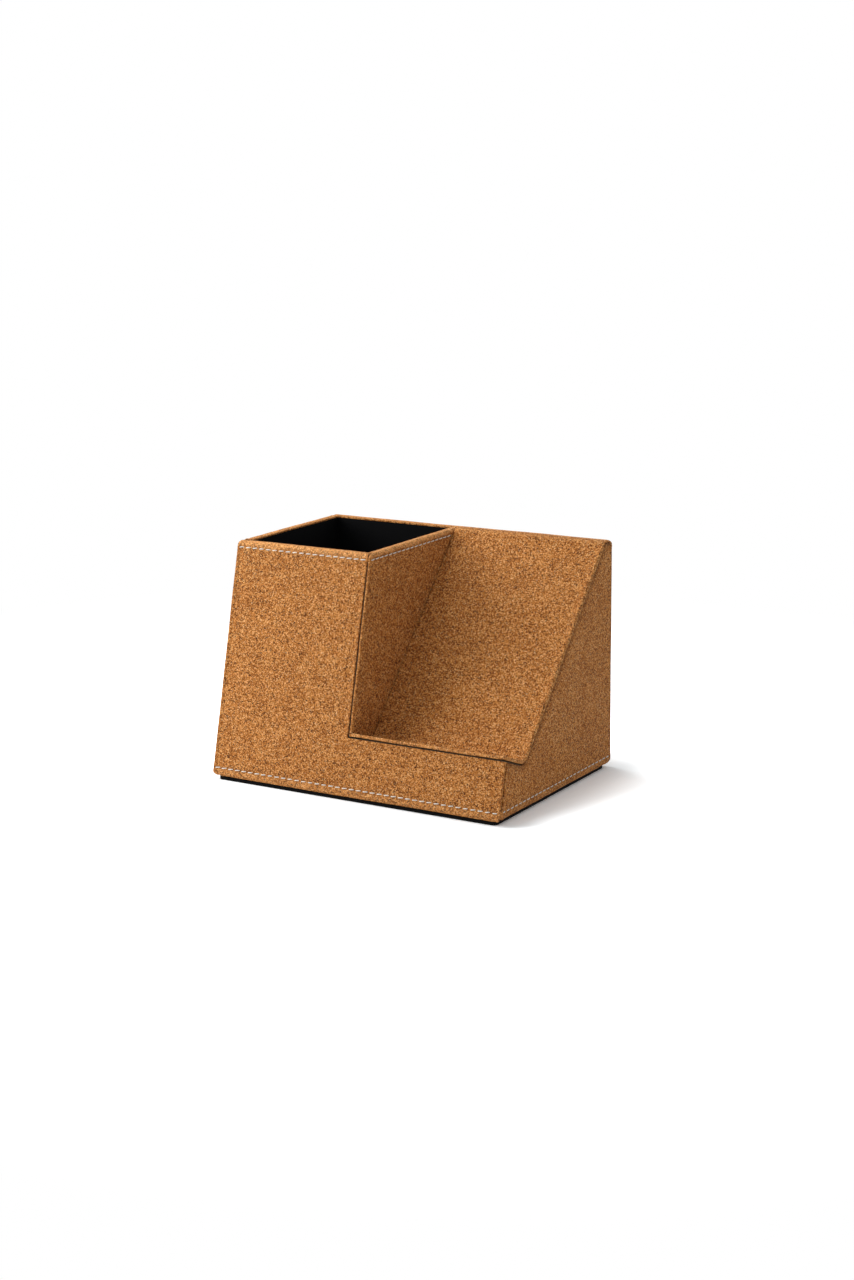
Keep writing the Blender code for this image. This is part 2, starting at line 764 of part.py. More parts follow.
def block(name, middle, size, height, corner, material):
    """A component with round upright edges, standing on the circuit board."""
    low = (middle[0] - size[0] / 2, middle[1] - size[1] / 2)
    high = (middle[0] + size[0] / 2, middle[1] + size[1] / 2)
    prism(name, box_outline(low, high, corner), "Z", component_low, component_low + height, material)


def socket_outline(grown):
    """The section of the socket, grown by this much on every side."""
    low = (bay_middle - socket_width / 2 - grown, socket_level - socket_height / 2 - grown)
    high = (bay_middle + socket_width / 2 + grown, socket_level + socket_height / 2 + grown)
    return box_outline(low, high, socket_radius + grown - cut_edge_radius)


def bezel_outline(grown):
    """The section of the bezel's opening, grown by this much on every side."""
    low = (bay_middle - bezel_opening_width / 2 - grown, socket_level - bezel_opening_height / 2 - grown)
    high = (bay_middle + bezel_opening_width / 2 + grown, socket_level + bezel_opening_height / 2 + grown)
    return box_outline(low, high, bezel_opening_corner + grown)


def port_cutter():
    """The cut-out in the back board and the back skin, round the bezel."""
    start = back - lining_inset - overrun
    return as_cutter(prism("port_cutter", bezel_outline(bezel_wall + glue_gap), "Y", start, back + overrun))


def make_inlet(steel, black_plastic):
    """The power inlet: a drawn shell, the tongue in it and the frame of the cut-out."""
    shell_end = socket_mouth - socket_length
    shell = prism("socket_shell", socket_outline(0), "Y", shell_end, socket_mouth, steel)
    inside_end = shell_end + socket_back_wall
    inside = as_cutter(prism("socket_inside_cutter", socket_outline(-socket_wall), "Y",
                             inside_end, socket_mouth + overrun))
    cut(shell, inside)

    root_start = inside_end + glue_gap
    root_end = root_start + tongue_root_length
    half_root, half_tongue = tongue_root_height / 2, tongue_thickness / 2
    profile = [
        (root_start, socket_level - half_root), (root_end, socket_level - half_root),
        (root_end, socket_level - half_tongue), (socket_mouth - tongue_recess, socket_level - half_tongue),
        (socket_mouth - tongue_recess, socket_level + half_tongue), (root_end, socket_level + half_tongue),
        (root_end, socket_level + half_root), (root_start, socket_level + half_root),
    ]
    half_width = tongue_width / 2
    prism("socket_tongue", profile, "X", bay_middle - half_width, bay_middle + half_width, black_plastic)

    bezel = prism("socket_bezel", bezel_outline(bezel_wall), "Y", back - board_inset - board_thickness, back,
                  black_plastic)
    opening = as_cutter(prism("bezel_opening_cutter", bezel_outline(0), "Y",
                              back - lining_inset - overrun, back + overrun))
    cut(bezel, opening)


def make_leads(coil_ends, matrix, lead_finish):
    """Two leads, from the coil's ends behind the slope down to the front edge of the circuit board."""
    out_of_carrier = matrix.to_3x3() @ Vector((0, 0, -1))
    reach = circuit_width / 2 - 2 * post_inset
    y = circuit_front + post_inset
    ends = [Vector((bay_middle + reach, y, component_low)), Vector((bay_middle - reach, y, component_low))]
    for name, start, end in zip(("coil_lead_outer", "coil_lead_inner"), coil_ends, ends):
        start = start + out_of_carrier * glue_gap
        points = interpolate_bezier(start, start + out_of_carrier * lead_bow, end + Vector((0, 0, lead_drop)),
                                    end, lead_steps)
        wire(name, points, lead_diameter, 2, lead_finish)


def build():
    for obj in list(bpy.data.objects):
        bpy.data.objects.remove(obj)
    cork = finish("cork", (0.44, 0.215, 0.085), 0.75)
    greyboard = finish("greyboard", (0.34, 0.31, 0.27), 0.9)
    lining = finish("black_lining", (0.012, 0.012, 0.013), 0.6)
    black_sheet = finish("black_base_sheet", (0.01, 0.01, 0.011), 0.7)
    black_plastic = finish("black_plastic", (0.02, 0.02, 0.022), 0.45)
    tape = finish("foam_tape", (0.75, 0.74, 0.7), 0.9)
    ferrite = finish("ferrite", (0.06, 0.06, 0.065), 0.55)
    copper = finish("coil_wire", (0.72, 0.33, 0.16), 0.3, 1.0)
    board_green = finish("circuit_board", (0.02, 0.14, 0.06), 0.4)
    ceramic = finish("ceramic", (0.28, 0.24, 0.2), 0.5)
    steel = finish("plated_steel", (0.7, 0.7, 0.72), 0.3, 1.0)
    lead_finish = finish("lead_insulation", (0.45, 0.02, 0.02), 0.5)

    frame, matrix = charger_frame()
    bay = bay_cutter()
    port = port_cutter()
    make_base_sheet(black_sheet)
    make_boards(greyboard, bay, port)
    make_tray_boards(greyboard, frame)
    corners = corner_cutters()
    make_front_cork(cork, bay, corners)
    make_back_cork(cork, port, corners)
    make_side_corks(cork, bay)
    make_divider_cork(cork)
    make_tray_cork(cork)
    make_lining(lining)
    coil_ends = make_charger(frame, matrix, black_plastic, tape, ferrite, copper)
    make_bracket(black_plastic, tape)
    make_circuit(board_green, steel, black_plastic, ceramic)
    make_inlet(steel, black_plastic)
    make_leads(coil_ends, matrix, lead_finish)


build()
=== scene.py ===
"""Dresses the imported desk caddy: sewn cork skins, their thread, the finishes, the light and the camera.

Metres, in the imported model's frame. Sections of pieces that run from side to side are drawn in Y and Z, those
that run to the back in X and Z. A section is followed with the sheet's outer face on its left.
"""

import math

import bpy
import numpy as np
from mathutils import Matrix, Quaternion, Vector


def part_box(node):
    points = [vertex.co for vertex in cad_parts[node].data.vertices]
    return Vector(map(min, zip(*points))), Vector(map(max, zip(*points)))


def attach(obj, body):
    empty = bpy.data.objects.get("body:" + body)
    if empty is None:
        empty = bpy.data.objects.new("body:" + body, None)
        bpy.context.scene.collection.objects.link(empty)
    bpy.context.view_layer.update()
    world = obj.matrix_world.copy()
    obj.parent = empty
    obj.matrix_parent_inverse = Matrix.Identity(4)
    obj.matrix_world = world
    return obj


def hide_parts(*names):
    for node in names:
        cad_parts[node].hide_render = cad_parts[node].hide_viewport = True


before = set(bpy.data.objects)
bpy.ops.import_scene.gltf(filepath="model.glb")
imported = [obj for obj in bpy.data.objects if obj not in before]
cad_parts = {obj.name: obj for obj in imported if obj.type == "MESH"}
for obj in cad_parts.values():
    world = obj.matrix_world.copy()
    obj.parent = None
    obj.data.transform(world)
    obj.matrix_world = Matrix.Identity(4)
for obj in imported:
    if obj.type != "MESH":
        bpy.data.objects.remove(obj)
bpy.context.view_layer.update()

# Sizes of the body, as in the part's source
half_width = 0.074
divider_face = -0.003
back = 0.052
height = 0.1055
front_lean = math.radians(13.6)
lip_height = 0.0292
ledge_length = 0.0170
ledge_fall = math.radians(20.5)
back_top_width = 0.0079
cork = 0.0008
glue_gap = 0.0003
skin_foot = 0.0016
wall = 0.0040
turn_under = 0.0100
foot_radius = 0.0020
rim_radius = 0.0015
foot_corner_radius = 0.0024
rim_corner_radius = 0.0018
hem_thickness = 0.0015
hem_width = 0.0035
lap = cork + glue_gap
tray_left = divider_face + glue_gap
side_end = back - lap
fold_top = skin_foot + foot_radius

# Shapes that only the real sheets have: the sagging cap of a rim, the hem's step, bulge and press, the round
# fold between ledge and slope, and the waves of a sheet that was glued by hand
rim_sag = 0.00028
hem_band = 0.0025
hem_proud = 0.0003
hem_relief = 0.00045
hem_step = 0.0008
hem_corner_bump = 0.00045
hem_press = 0.00038
hem_press_width = 0.0014
pressed_thin = 0.6
# Rubbing and painted highlight along the tray's hems: how much, and how wide
hem_wear_and_highlight = 0.4
hem_wear_and_highlight_width = 0.0009
seat_radius = 0.0040
tray_top_lean = 0.0012
skin_waves = 0.00005
tray_waves = 0.00006
port_roundness = 0.94
tray_right = half_width + hem_proud

# Sewing
foot_row_height = 0.0040
rim_row_depth = 0.0028
stitch_pitch = 0.0036
pitch_ease = 0.9995
dash_length = 0.0029
dash_steps = 7
thread_radius = 0.00024
thread_sides = 6
thread_rise = 0.00024
thread_sink = 0.00050
stitch_slant = math.radians(6.5)
slant_spread = 0.035
row_end = 0.0005
groove_depth = 0.00013
groove_width = 0.0009
hole_depth = 0.00020
hole_width = 0.00042
band_swell = 0.00012
band_rise = foot_row_height / 2.2
# Share of rubbing and painted highlight on the folds at the foot, against 1 at the rim
foot_wear_and_highlight = 0.35

# Cut edges: the open seam beside them, their thicker end round a corner of the board, their ridge and dip
seam_gap = 0.00065
edge_lip = 0.0017
edge_lip_width = 0.0011
divider_lip = 0.00105
divider_lip_width = 0.0030
divider_seam = 0.0006
divider_end_depth = 0.0040
divider_lean_reach = 0.030
corner_seam = 0.00015
edge_ridge = 0.00016
edge_ridge_place = 0.0007
edge_ridge_width = 0.0007
edge_dip = 0.00020
edge_dip_place = 0.0023
cut_rounding = 0.00025
ledge_edge_rounding = 0.00038
right_rounding = 0.00020
hem_rounding = 0.00062
foot_tuck = 0.0012
end_reach = 0.0080
notch_edge = divider_face - divider_lip - divider_seam
side_start = edge_lip + corner_seam

# How fine the cork meshes are. A share is a part of the way over a side's face, to its cut edge
column_step = 0.00042
first_column = column_step * 1.4
fine_step = 0.00032
coarse_step = 0.0028
share_fine = 0.006
right_share_coarse = 0.035
divider_share_coarse = 0.040
step_growth = 0.45
fold_steps = 8
edge_steps = 3
mitre_limit = 0.5
corner_reach = 1.2
walk_samples = 600

# Cork: granules, crumbs and pieces of bark to the metre, the ragged outline of them all, and their tones
granule_scale = 2050
crumb_scale = 3900
bark_scale = 1020
ragged_scale = 2700
ragged_reach = 0.00031
cork_tones = [
    (0.10, (0.070, 0.021, 0.004)), (0.28, (0.235, 0.073, 0.013)), (0.46, (0.440, 0.148, 0.027)),
    (0.62, (0.570, 0.216, 0.048)), (0.80, (0.730, 0.333, 0.097)), (0.95, (0.880, 0.505, 0.198)),
]
joint_brown = (0.120, 0.046, 0.016)
bark_brown = (0.050, 0.018, 0.007)
fleck_cream = (0.86, 0.60, 0.33)
# Paler colour added on the folds, for rubbing and painted highlight
wear_and_highlight_gain = (0.44, 0.25, 0.10)
# Painted shade in the sewn grooves
groove_shade_brown = (0.16, 0.065, 0.022)
# Painted shade on the right skin along the strip under the tray's hem
hem_shade_brown = (0.085, 0.030, 0.008)

# Pressed and moulded finishes: dark and light tone, grains to the metre, roughness, depth of the grain,
# specular level and the nodes that have them
pressed_finishes = {
    "black_base_sheet": ((0.0016, 0.0016, 0.0018), (0.0040, 0.0040, 0.0044), 1900, 0.72, 0.00008, 0.06,
                         "base_sheet"),
    "black_moulding": ((0.013, 0.013, 0.014), (0.024, 0.024, 0.026), 3800, 0.46, 0.00003, 0.5,
                       "coil_carrier board_bracket socket_bezel socket_tongue control_chip"),
    "white_foam_tape": ((0.66, 0.65, 0.61), (0.78, 0.77, 0.73), 3200, 0.88, 0.0001, 0.2,
                        "carrier_tape bracket_tape"),
    "dark_ferrite": ((0.045, 0.045, 0.050), (0.080, 0.078, 0.080), 2600, 0.62, 0.00004, 0.4,
                     "ferrite_shield"),
    "matt_ceramic": ((0.20, 0.165, 0.135), (0.32, 0.27, 0.22), 2600, 0.58, 0.00003, 0.4,
                     "power_inductor resonant_capacitor_1 resonant_capacitor_2 resonant_capacitor_3 "
                     "resonant_capacitor_4"),
    "red_insulation": ((0.36, 0.014, 0.014), (0.50, 0.030, 0.026), 2200, 0.44, 0.00003, 0.4,
                       "coil_lead_inner coil_lead_outer"),
}

# Metal finishes: dark and light tone, the stretch of their fine lines, roughness and the nodes that have them
metal_finishes = {
    "lacquered_copper": ((0.62, 0.26, 0.11), (0.80, 0.40, 0.20), (1.0, 1.0, 1.0), 0.24, "charging_coil"),
    "nickel_plate": ((0.56, 0.56, 0.58), (0.76, 0.76, 0.77), (1.0, 0.08, 1.0), 0.20,
                     "socket_shell board_screw_1 board_screw_2"),
}

# Light: the fill all round, and the place, the size and the power of each lamp
fill_strength = 0.53
lamps = {"key_light": ((-0.38, -0.24, 0.30), 0.28, 1.85), "top_light": ((-0.30, 0.05, 0.75), 0.40, 2.2)}
lamp_target = Vector((0, 0, 0.05))

# Floor: its own tone, the lift that the camera sees right beside the body, the width over which that lift
# grows by 1, the green and blue that keep the shadow grey, and where the floor turns to plain white
floor_reach = 4.0
floor_tone = 0.86
shadow_lift = 0.34
lift_width = 0.030
shadow_green = 0.055
shadow_blue = 0.085
white_start = 0.10
white_end = 0.35

# Camera, fitted to the photograph: f is 2238.8 pixels over a frame 1280 pixels high
sensor_size = 36.0
focal_length = 62.97
view_target = Vector((0.009469, -0.0020, 0.063341))
view_azimuth = math.radians(31.198)
view_elevation = math.radians(12.99)
view_roll = math.radians(-0.637)
view_distance = 0.9971


class Line:
    """A straight line in a section."""

    def __init__(self, point, angle):
        self.point = Vector(point)
        self.angle = angle
        self.along = Vector((math.cos(angle), math.sin(angle)))

    def moved(self, distance):
        """The parallel line this far to the right of its direction, which is inwards."""
        return Line(self.point + Vector((self.along.y, -self.along.x)) * distance, self.angle)

    def at_height(self, z):
        return self.point + self.along * ((z - self.point.y) / self.along.y)

    def meet(self, other):
        offset = other.point - self.point
        crossing = self.along.x * other.along.y - self.along.y * other.along.x
        return self.point + self.along * ((offset.x * other.along.y - offset.y * other.along.x) / crossing)


foot_setback = foot_radius / math.tan((math.pi / 2 - front_lean) / 2) - foot_radius
front_face = Line((-back - foot_setback, skin_foot), math.pi / 2 - front_lean)
side_front = front_face.moved(side_start)
ledge_face = Line(front_face.at_height(lip_height), -ledge_fall)
seat = ledge_face.point + ledge_face.along * ledge_length
slope_top = Vector((back - back_top_width, height))
slope_face = Line(seat, math.atan2(slope_top.y - seat.y, slope_top.x - seat.x))
front_cap_end = front_face.moved(wall).at_height(height).x
bay_cap_end = slope_face.moved(hem_thickness).at_height(height).x + glue_gap
foot_row = skin_foot + foot_row_height
rim_row = height - rim_row_depth


class Section:
    """The outer face of a folded sheet: straight runs with even numbers, joined by round folds with odd ones.

    A run holds its length, its start or its fold's centre, its direction or the angle that it turns by, and
    the outward direction at its start.
    """

    def __init__(self, corners, radii):
        corners = [Vector(corner) for corner in corners]
        self.runs = []
        start = corners[0]
        for before, corner, after, radius in zip(corners, corners[1:], corners[2:], radii):
            along, onwards = (corner - before).normalized(), (after - corner).normalized()
            turn = math.atan2(along.x * onwards.y - along.y * onwards.x, along.dot(onwards))
            setback = radius * math.tan(abs(turn) / 2)
            end = corner - along * setback
            outward = Vector((-along.y, along.x))
            self.add_run(start, end)
            self.runs.append((radius * abs(turn), end + outward * math.copysign(radius, turn), turn, outward))
            start = corner + onwards * setback
        self.add_run(start, corners[-1])
        self.breaks = np.concatenate([[0], np.cumsum([run[0] for run in self.runs])])

    def add_run(self, start, end):
        along = (end - start).normalized()
        self.runs.append(((end - start).length, start, along, Vector((-along.y, along.x))))

    def at(self, place):
        """The point and the outward direction at a place along the section."""
        number = int(np.clip(np.searchsorted(self.breaks, place, side="right") - 1, 0, len(self.runs) - 1))
        length, anchor, course, outward = self.runs[number]
        place = place - self.breaks[number]
        if number % 2 == 0:
            return anchor + course * place, outward
        turned = Matrix.Rotation(course * place / length, 2) @ outward
        return anchor - turned * (length / course), turned

    def height_at(self, z):
        """The place on the tall face, the second straight run, that has this height."""
        _, anchor, along, _ = self.runs[2]
        return self.breaks[2] + (z - anchor.y) / along.y

    def rows(self, marks=()):
        """Places for a grid's rows: fine near the marks, and even round the folds."""
        places = [[0.0]]
        for number, (start, end) in enumerate(zip(self.breaks, self.breaks[1:])):
            if number % 2:
                places.append(np.linspace(start, end, fold_steps + 1)[1:])
            else:
                stops = [start, *sorted(mark for mark in marks if start < mark < end), end]
                places.append(graded(stops, [*marks, start, end])[1:])
        return np.concatenate(places)

    def turned_rows(self):
        """The rows up to the end of the first fold."""
        places = self.rows()
        return places[places <= self.breaks[2] + 1e-9]

    def wear_and_highlight_at(self, places):
        """The share of rubbing and painted highlight: 1 on the folds at the rim and less on those at the foot,
        fading away from them.
        """
        worn = np.zeros(len(places))
        for number in range(1, len(self.runs), 2):
            most = 1 if self.runs[number][1].y > height / 2 else foot_wear_and_highlight
            away = np.maximum(np.maximum(self.breaks[number] - places, places - self.breaks[number + 1]), 0)
            worn = np.maximum(worn, np.exp(-(away / foot_radius) ** 2 * 2) * most)
        return worn[:, None]


def graded(stops, marks, fine=fine_step, coarse=coarse_step):
    """Places from stop to stop, in steps that are fine near the marks and coarse elsewhere."""
    places = [stops[:1]]
    for start, end in zip(stops, stops[1:]):
        walk = np.linspace(start, end, walk_samples)
        near = np.min([abs(walk - mark) for mark in marks], axis=0)
        pace = 1 / np.clip(fine + near * step_growth, fine, coarse)
        count = np.concatenate([[0], np.cumsum((pace[1:] + pace[:-1]) / 2 * np.diff(walk))])
        total = max(1, math.ceil(count[-1]))
        places.append(np.interp(np.linspace(0, count[-1], total + 1), count, walk)[1:])
    return np.concatenate(places)


def even(*stops, step=column_step):
    """Places at even steps from stop to stop."""
    spans = [np.linspace(start, end, max(1, round((end - start) / step)) + 1)[1:]
             for start, end in zip(stops, stops[1:])]
    return np.concatenate([stops[:1], *spans])


def unit(vectors):
    return vectors / np.maximum(np.linalg.norm(vectors, axis=-1, keepdims=True), 1e-12)


def smooth_share(value):
    share = np.clip(value, 0, 1)
    return share * share * (3 - 2 * share)


def bell(distance, width):
    return np.exp(-(distance / width) ** 2)


def hole_places(start, end):
    """Where the needle goes in along a row, evenly spread between the row's ends."""
    return np.linspace(start, end, round((end - start) / stitch_pitch) + 1)


def sewn_dent(across, along, holes):
    """How far a row of holes pulls the sheet in at a distance across from it, and how close it is."""
    groove = bell(across, groove_width)
    to_hole = np.min(abs(along[..., None] - holes), axis=-1)
    inside = (along > holes[0] - hole_width) & (along < holes[-1] + hole_width)
    pull = np.exp(-(across ** 2 + to_hole ** 2) / hole_width ** 2)
    return (groove_depth * groove + hole_depth * pull) * inside, groove


def edge_swell(distance):
    """The ridge along a cut edge, rubbed down over the board's corner, and the dip beside it."""
    return (edge_ridge * bell(distance - edge_ridge_place, edge_ridge_width)
            - edge_dip * bell(distance - edge_dip_place, edge_ridge_width))


def cap_sag(inside):
    """How far a rim's cap sinks, by the distance of each row inside its fold."""
    return rim_sag * smooth_share(inside / (wall - rim_radius))[:, None]


def lipped(distance, lip, width):
    """The thickness at a distance from a cut edge that wraps a corner of the board."""
    return cork + (lip - cork) * smooth_share(2 - distance / width * 2)


def slack(points, size=skin_waves):
    """The unevenness of a sheet glued by hand: slow waves, and quick ones of half their height."""
    x, y, z = np.moveaxis(points, -1, 0)
    slow = np.sin(x * 173 + 1.3) * np.sin(y * 131 + 0.4) + np.sin(z * 211 + x * 67 + 2.1)
    quick = np.sin(x * 611 + z * 433 + 0.7) * np.sin(y * 577 - z * 389 + 1.9)
    return size * (slow + 0.5 * quick)


def round_corners(points):
    """Bends what lies in the side corners of the body's outline on to round corners."""
    x, z = points[..., 0].copy(), points[..., 2].copy()
    for radius, sign, flat in ((rim_corner_radius, 1, height), (foot_corner_radius, -1, skin_foot)):
        out = np.clip((abs(x) - (half_width - radius)) / radius, 0, corner_reach)
        up = np.clip(((z - flat) * sign + radius) / radius, 0, corner_reach)
        corner = (out > 0) & (up > 0)
        new_x = np.sign(x) * (half_width - radius + radius * out * np.sqrt(1 - up ** 2 / 2))
        new_z = flat - sign * radius + sign * radius * up * np.sqrt(1 - out ** 2 / 2)
        points[..., 0] = np.where(corner, new_x, points[..., 0])
        points[..., 2] = np.where(corner, new_z, points[..., 2])
    return points


def boundary_loop(quads):
    """The vertices round the edge of a sheet, in the order of its faces."""
    edges = np.concatenate([quads[:, [number, (number + 1) % 4]] for number in range(4)])
    forward = {tuple(edge) for edge in edges.tolist()}
    following = {first: second for first, second in forward if (second, first) not in forward}
    loop = [min(following)]
    while following[loop[-1]] != loop[0]:
        loop.append(following[loop[-1]])
    return np.array(loop)


def sheet(name, points, outward, marks, keep=slice(None), depth=cork, rounding=cut_rounding,
          skew=(0, (0, 0, 0))):
    """A closed sheet from a grid of points on its outer face, with rounded cut edges.

    keep says which cells are covered, depth and rounding may differ from point to point, and skew is a share
    and a direction that the thickness takes instead of the straight way in. marks are point attributes.
    """
    shape = points.shape[:2]
    number = np.arange(shape[0] * shape[1]).reshape(shape)
    quads = np.stack([number[:-1, :-1], number[1:, :-1], number[1:, 1:], number[:-1, 1:]], axis=-1)
    used, quads = np.unique(quads[keep].reshape(-1, 4), return_inverse=True)
    quads = quads.reshape(-1, 4)

    def covered(values):
        return np.broadcast_to(values, shape).reshape(-1)[used]

    outer, outward = points.reshape(-1, 3)[used], outward.reshape(-1, 3)[used]
    across = np.cross(outer[quads[:, 2]] - outer[quads[:, 0]], outer[quads[:, 3]] - outer[quads[:, 1]])
    if np.sum(across * outward[quads[:, 0]]) < 0:
        quads, across = quads[:, ::-1], -across
    normal = np.zeros_like(outer)
    for corner in range(4):
        np.add.at(normal, quads[:, corner], across)
    share = covered(skew[0])[:, None]
    inward = -unit(normal) * (1 - share) + np.array(skew[1]) * share
    thickness = inward * covered(depth)[:, None]
    loop = boundary_loop(quads)
    ring, way = outer[loop], unit(inward)[loop]
    before, after = unit(ring - np.roll(ring, 1, axis=0)), unit(np.roll(ring, -1, axis=0) - ring)
    side_1, side_2 = unit(np.cross(before, -way)), unit(np.cross(after, -way))
    meeting = np.sum(side_1 * side_2, axis=1, keepdims=True)
    radius = covered(rounding)[loop][:, None]
    shift = (side_1 + side_2) / np.maximum(1 + meeting, mitre_limit) * radius
    outer[loop] = ring - shift
    span = np.linalg.norm(thickness, axis=1, keepdims=True)[loop]
    angles = np.linspace(0, math.pi / 2, edge_steps + 1)[1:]
    curve = list(zip(np.sin(angles) - 1, 1 - np.cos(angles)))
    rings = [ring + shift * out + way * radius * down for out, down in curve]
    rings += [ring + shift * out + way * (span - radius * down) for out, down in reversed(curve)]
    total, around = len(outer), len(loop)
    rounds = total * 2 + np.arange(around * len(rings)).reshape(-1, around)
    levels = [loop, *rounds, loop + total]
    faces = [quads, quads[:, ::-1] + total]
    for level, following in zip(levels, levels[1:]):
        faces.append(np.stack([np.roll(level, -1), level, following, np.roll(following, -1)], axis=1))
    mesh = bpy.data.meshes.new(name)
    vertices = np.concatenate([outer, outer + thickness, *rings])
    mesh.from_pydata(vertices.tolist(), [], np.concatenate(faces).tolist())
    for mark, values in marks.items():
        values = covered(values)
        values = np.concatenate([values, values, *[values[loop]] * len(rings)]).astype(np.float32)
        mesh.attributes.new(mark, "FLOAT", "POINT").data.foreach_set("value", values)
    mesh.shade_smooth()
    return mesh


def placed(name, data):
    """A new object in the scene, unmoved."""
    obj = bpy.data.objects.new(name, data)
    bpy.context.scene.collection.objects.link(obj)
    return obj


def cork_skin(node, points, outward, worn, sewn, marks=None, **shape):
    """A shown sheet of cork, which stands for the node that it dresses."""
    name = node + "_skin"
    marks = {"worn": worn, "sewn": sewn, **(marks or {})}
    obj = placed(name, sheet(name, points, outward, marks, **shape))
    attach(obj, "root")
    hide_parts(node)
    return obj


def grid(x, y, z):
    """Points or directions from coordinates that vary by row, by column or by both."""
    return np.stack(np.broadcast_arrays(x, y, z), axis=-1)


def spread(section, places):
    """The coordinates of a section at the places of a grid's rows, and of its outward directions."""
    pairs = np.array([(point[:], outward[:]) for point, outward in map(section.at, places)])
    return pairs.transpose(1, 2, 0)[..., None]


def crosswise(section, places, sideways):
    """The points and outward directions of a sheet that runs from side to side."""
    outline, facing = spread(section, places)
    return grid(sideways, *outline), grid(0 * sideways, *facing)


def lengthwise(section, places, backwards):
    """The points and outward directions of a sheet that runs to the back."""
    (x, z), (out_x, out_z) = spread(section, places)
    return grid(x, backwards, z), grid(out_x, 0 * backwards, out_z)


def face_rows(x, levels, coarse, base_z, base_y, edge_z, edge_y):
    """The face of a side skin: level rows at its fold, then rows that come to follow its cut edge."""
    shares = graded((0, 1), (0, 1), share_fine, coarse)[1:, None]
    z = np.concatenate([levels[:, None] + 0 * edge_z, levels[-1] + (edge_z - levels[-1]) * shares])
    y = base_y + (edge_y - base_y) * (z - base_z) / (edge_z - base_z)
    return grid(x, y, z), grid(1.0, 0 * y, 0)


def joined(*blocks):
    """The points and outward directions of blocks of rows, one below the other."""
    return [np.concatenate(parts) for parts in zip(*blocks)]


def drawn_together(across, flap):
    """The columns of each row, closer together towards the end of the foot's flap."""
    return across * (1 - np.maximum(flap, 0) / half_width)[:, None]


def notched(across, places, x, place, side):
    """The cells that stay where a corner is cut away past x and place, to the side 1 or -1 of both."""
    past_x = ((across[1:] + across[:-1]) / 2 - x) * side > 0
    past_place = ((places[1:] + places[:-1]) / 2 - place) * side > 0
    return ~(past_place[:, None] & past_x)


thread_rows = {}


def sewn_row(group, holes, point, outward):
    """Keeps a row's path for the thread, from the first dash's middle to the last one's.

    The coordinate that runs along the row is None in point.
    """
    middles = (holes[1:] + holes[:-1]) / 2
    path = grid(*[middles if value is None else value for value in point])
    thread_rows.setdefault(group, []).append((path, np.array(outward), (holes[1] - holes[0]) / stitch_pitch))


def sew_across(group, section, places, sideways, sewn):
    """Sews the rows of a sheet that runs from side to side, and gives what dress() needs of them."""
    rows = []
    for place, holes in sewn:
        point, direction = section.at(place)
        sewn_row(group, holes, (None, *point), (0, *direction))
        rows.append(((places - place)[:, None], sideways, holes))
    return rows


def dress(points, outward, rows_sewn, edge_distance=1.0, sag=0.0):
    """Pulls a sheet in along its sewn rows and swells it a little at the foot and along cut edges.

    rows_sewn holds each row's distances across and along and its holes. sag lowers a rim's cap.
    """
    dents, near = zip(*[sewn_dent(*row) for row in rows_sewn])
    swell = band_swell * smooth_share((foot_row - points[..., 2]) / band_rise)
    change = swell - sum(dents) + slack(points) + edge_swell(edge_distance) - sag
    return points + outward * change[..., None], np.maximum.reduce(near)


def make_front():
    """The front skin: one L-shaped sheet, turned under the foot and over the compartment's rim."""
    section = Section([(front_face.point.x + turn_under, skin_foot), front_face.at_height(skin_foot),
                       front_face.at_height(height), (front_cap_end, height)], [foot_radius, rim_radius])
    foot_sewn, rim_sewn = section.height_at(foot_row), section.height_at(rim_row)
    low_edge = section.height_at(front_face.meet(ledge_face.moved(hem_thickness + seam_gap)).y)
    places = section.rows([foot_sewn, low_edge, rim_sewn])
    across = even(-half_width, notch_edge, half_width)
    sideways = drawn_together(across, section.breaks[1] - places)
    row_start = -half_width + row_end
    rows = sew_across("front_stitching", section, places, sideways, (
        (foot_sewn, hole_places(row_start, half_width - row_end)),
        (rim_sewn, hole_places(row_start, notch_edge - row_end))))
    to_end = half_width - abs(sideways)
    to_notch = np.hypot(np.maximum(notch_edge - sideways, 0), np.maximum(low_edge - places, 0)[:, None])
    points, outward = crosswise(section, places, sideways)
    sag = cap_sag(places - section.breaks[-2])
    points, sewn = dress(points, outward, rows, np.minimum(to_end, to_notch), sag)
    on_ledge_edge = (sideways > notch_edge) & (places > low_edge - hem_band)[:, None]
    rounding = np.where(on_ledge_edge & (to_end > edge_lip_width), ledge_edge_rounding, cut_rounding)
    return cork_skin("front_cork", round_corners(points), outward, section.wear_and_highlight_at(places), sewn,
                     keep=notched(across, places, notch_edge, low_edge, 1),
                     depth=lipped(to_end, edge_lip, edge_lip_width), rounding=rounding)


def make_back():
    """The back skin, turned over the flat behind the slope, and by less over the compartment's rim."""
    section = Section([(bay_cap_end, height), (back, height), (back, skin_foot),
                       (back - turn_under, skin_foot)], [rim_radius, foot_radius])
    rim_sewn, foot_sewn = section.height_at(rim_row), section.height_at(foot_row)
    short_cap = back - wall - bay_cap_end
    places = section.rows([short_cap, rim_sewn, foot_sewn])
    bay_left = divider_face - cork
    across = even(-half_width, bay_left, half_width)
    sideways = drawn_together(across, places - section.breaks[-2])
    holes = hole_places(-half_width + row_end, half_width - row_end)
    rows = sew_across("back_stitching", section, places, sideways, ((rim_sewn, holes), (foot_sewn, holes)))
    points, outward = crosswise(section, places, sideways)
    sag = cap_sag(section.breaks[1] - places) * (across < bay_left)
    points, sewn = dress(points, outward, rows, sag=sag)
    skin = cork_skin("back_cork", round_corners(points), outward, section.wear_and_highlight_at(places), sewn,
                     keep=notched(across, places, bay_left, short_cap, -1))
    cut_port(skin)
    return skin


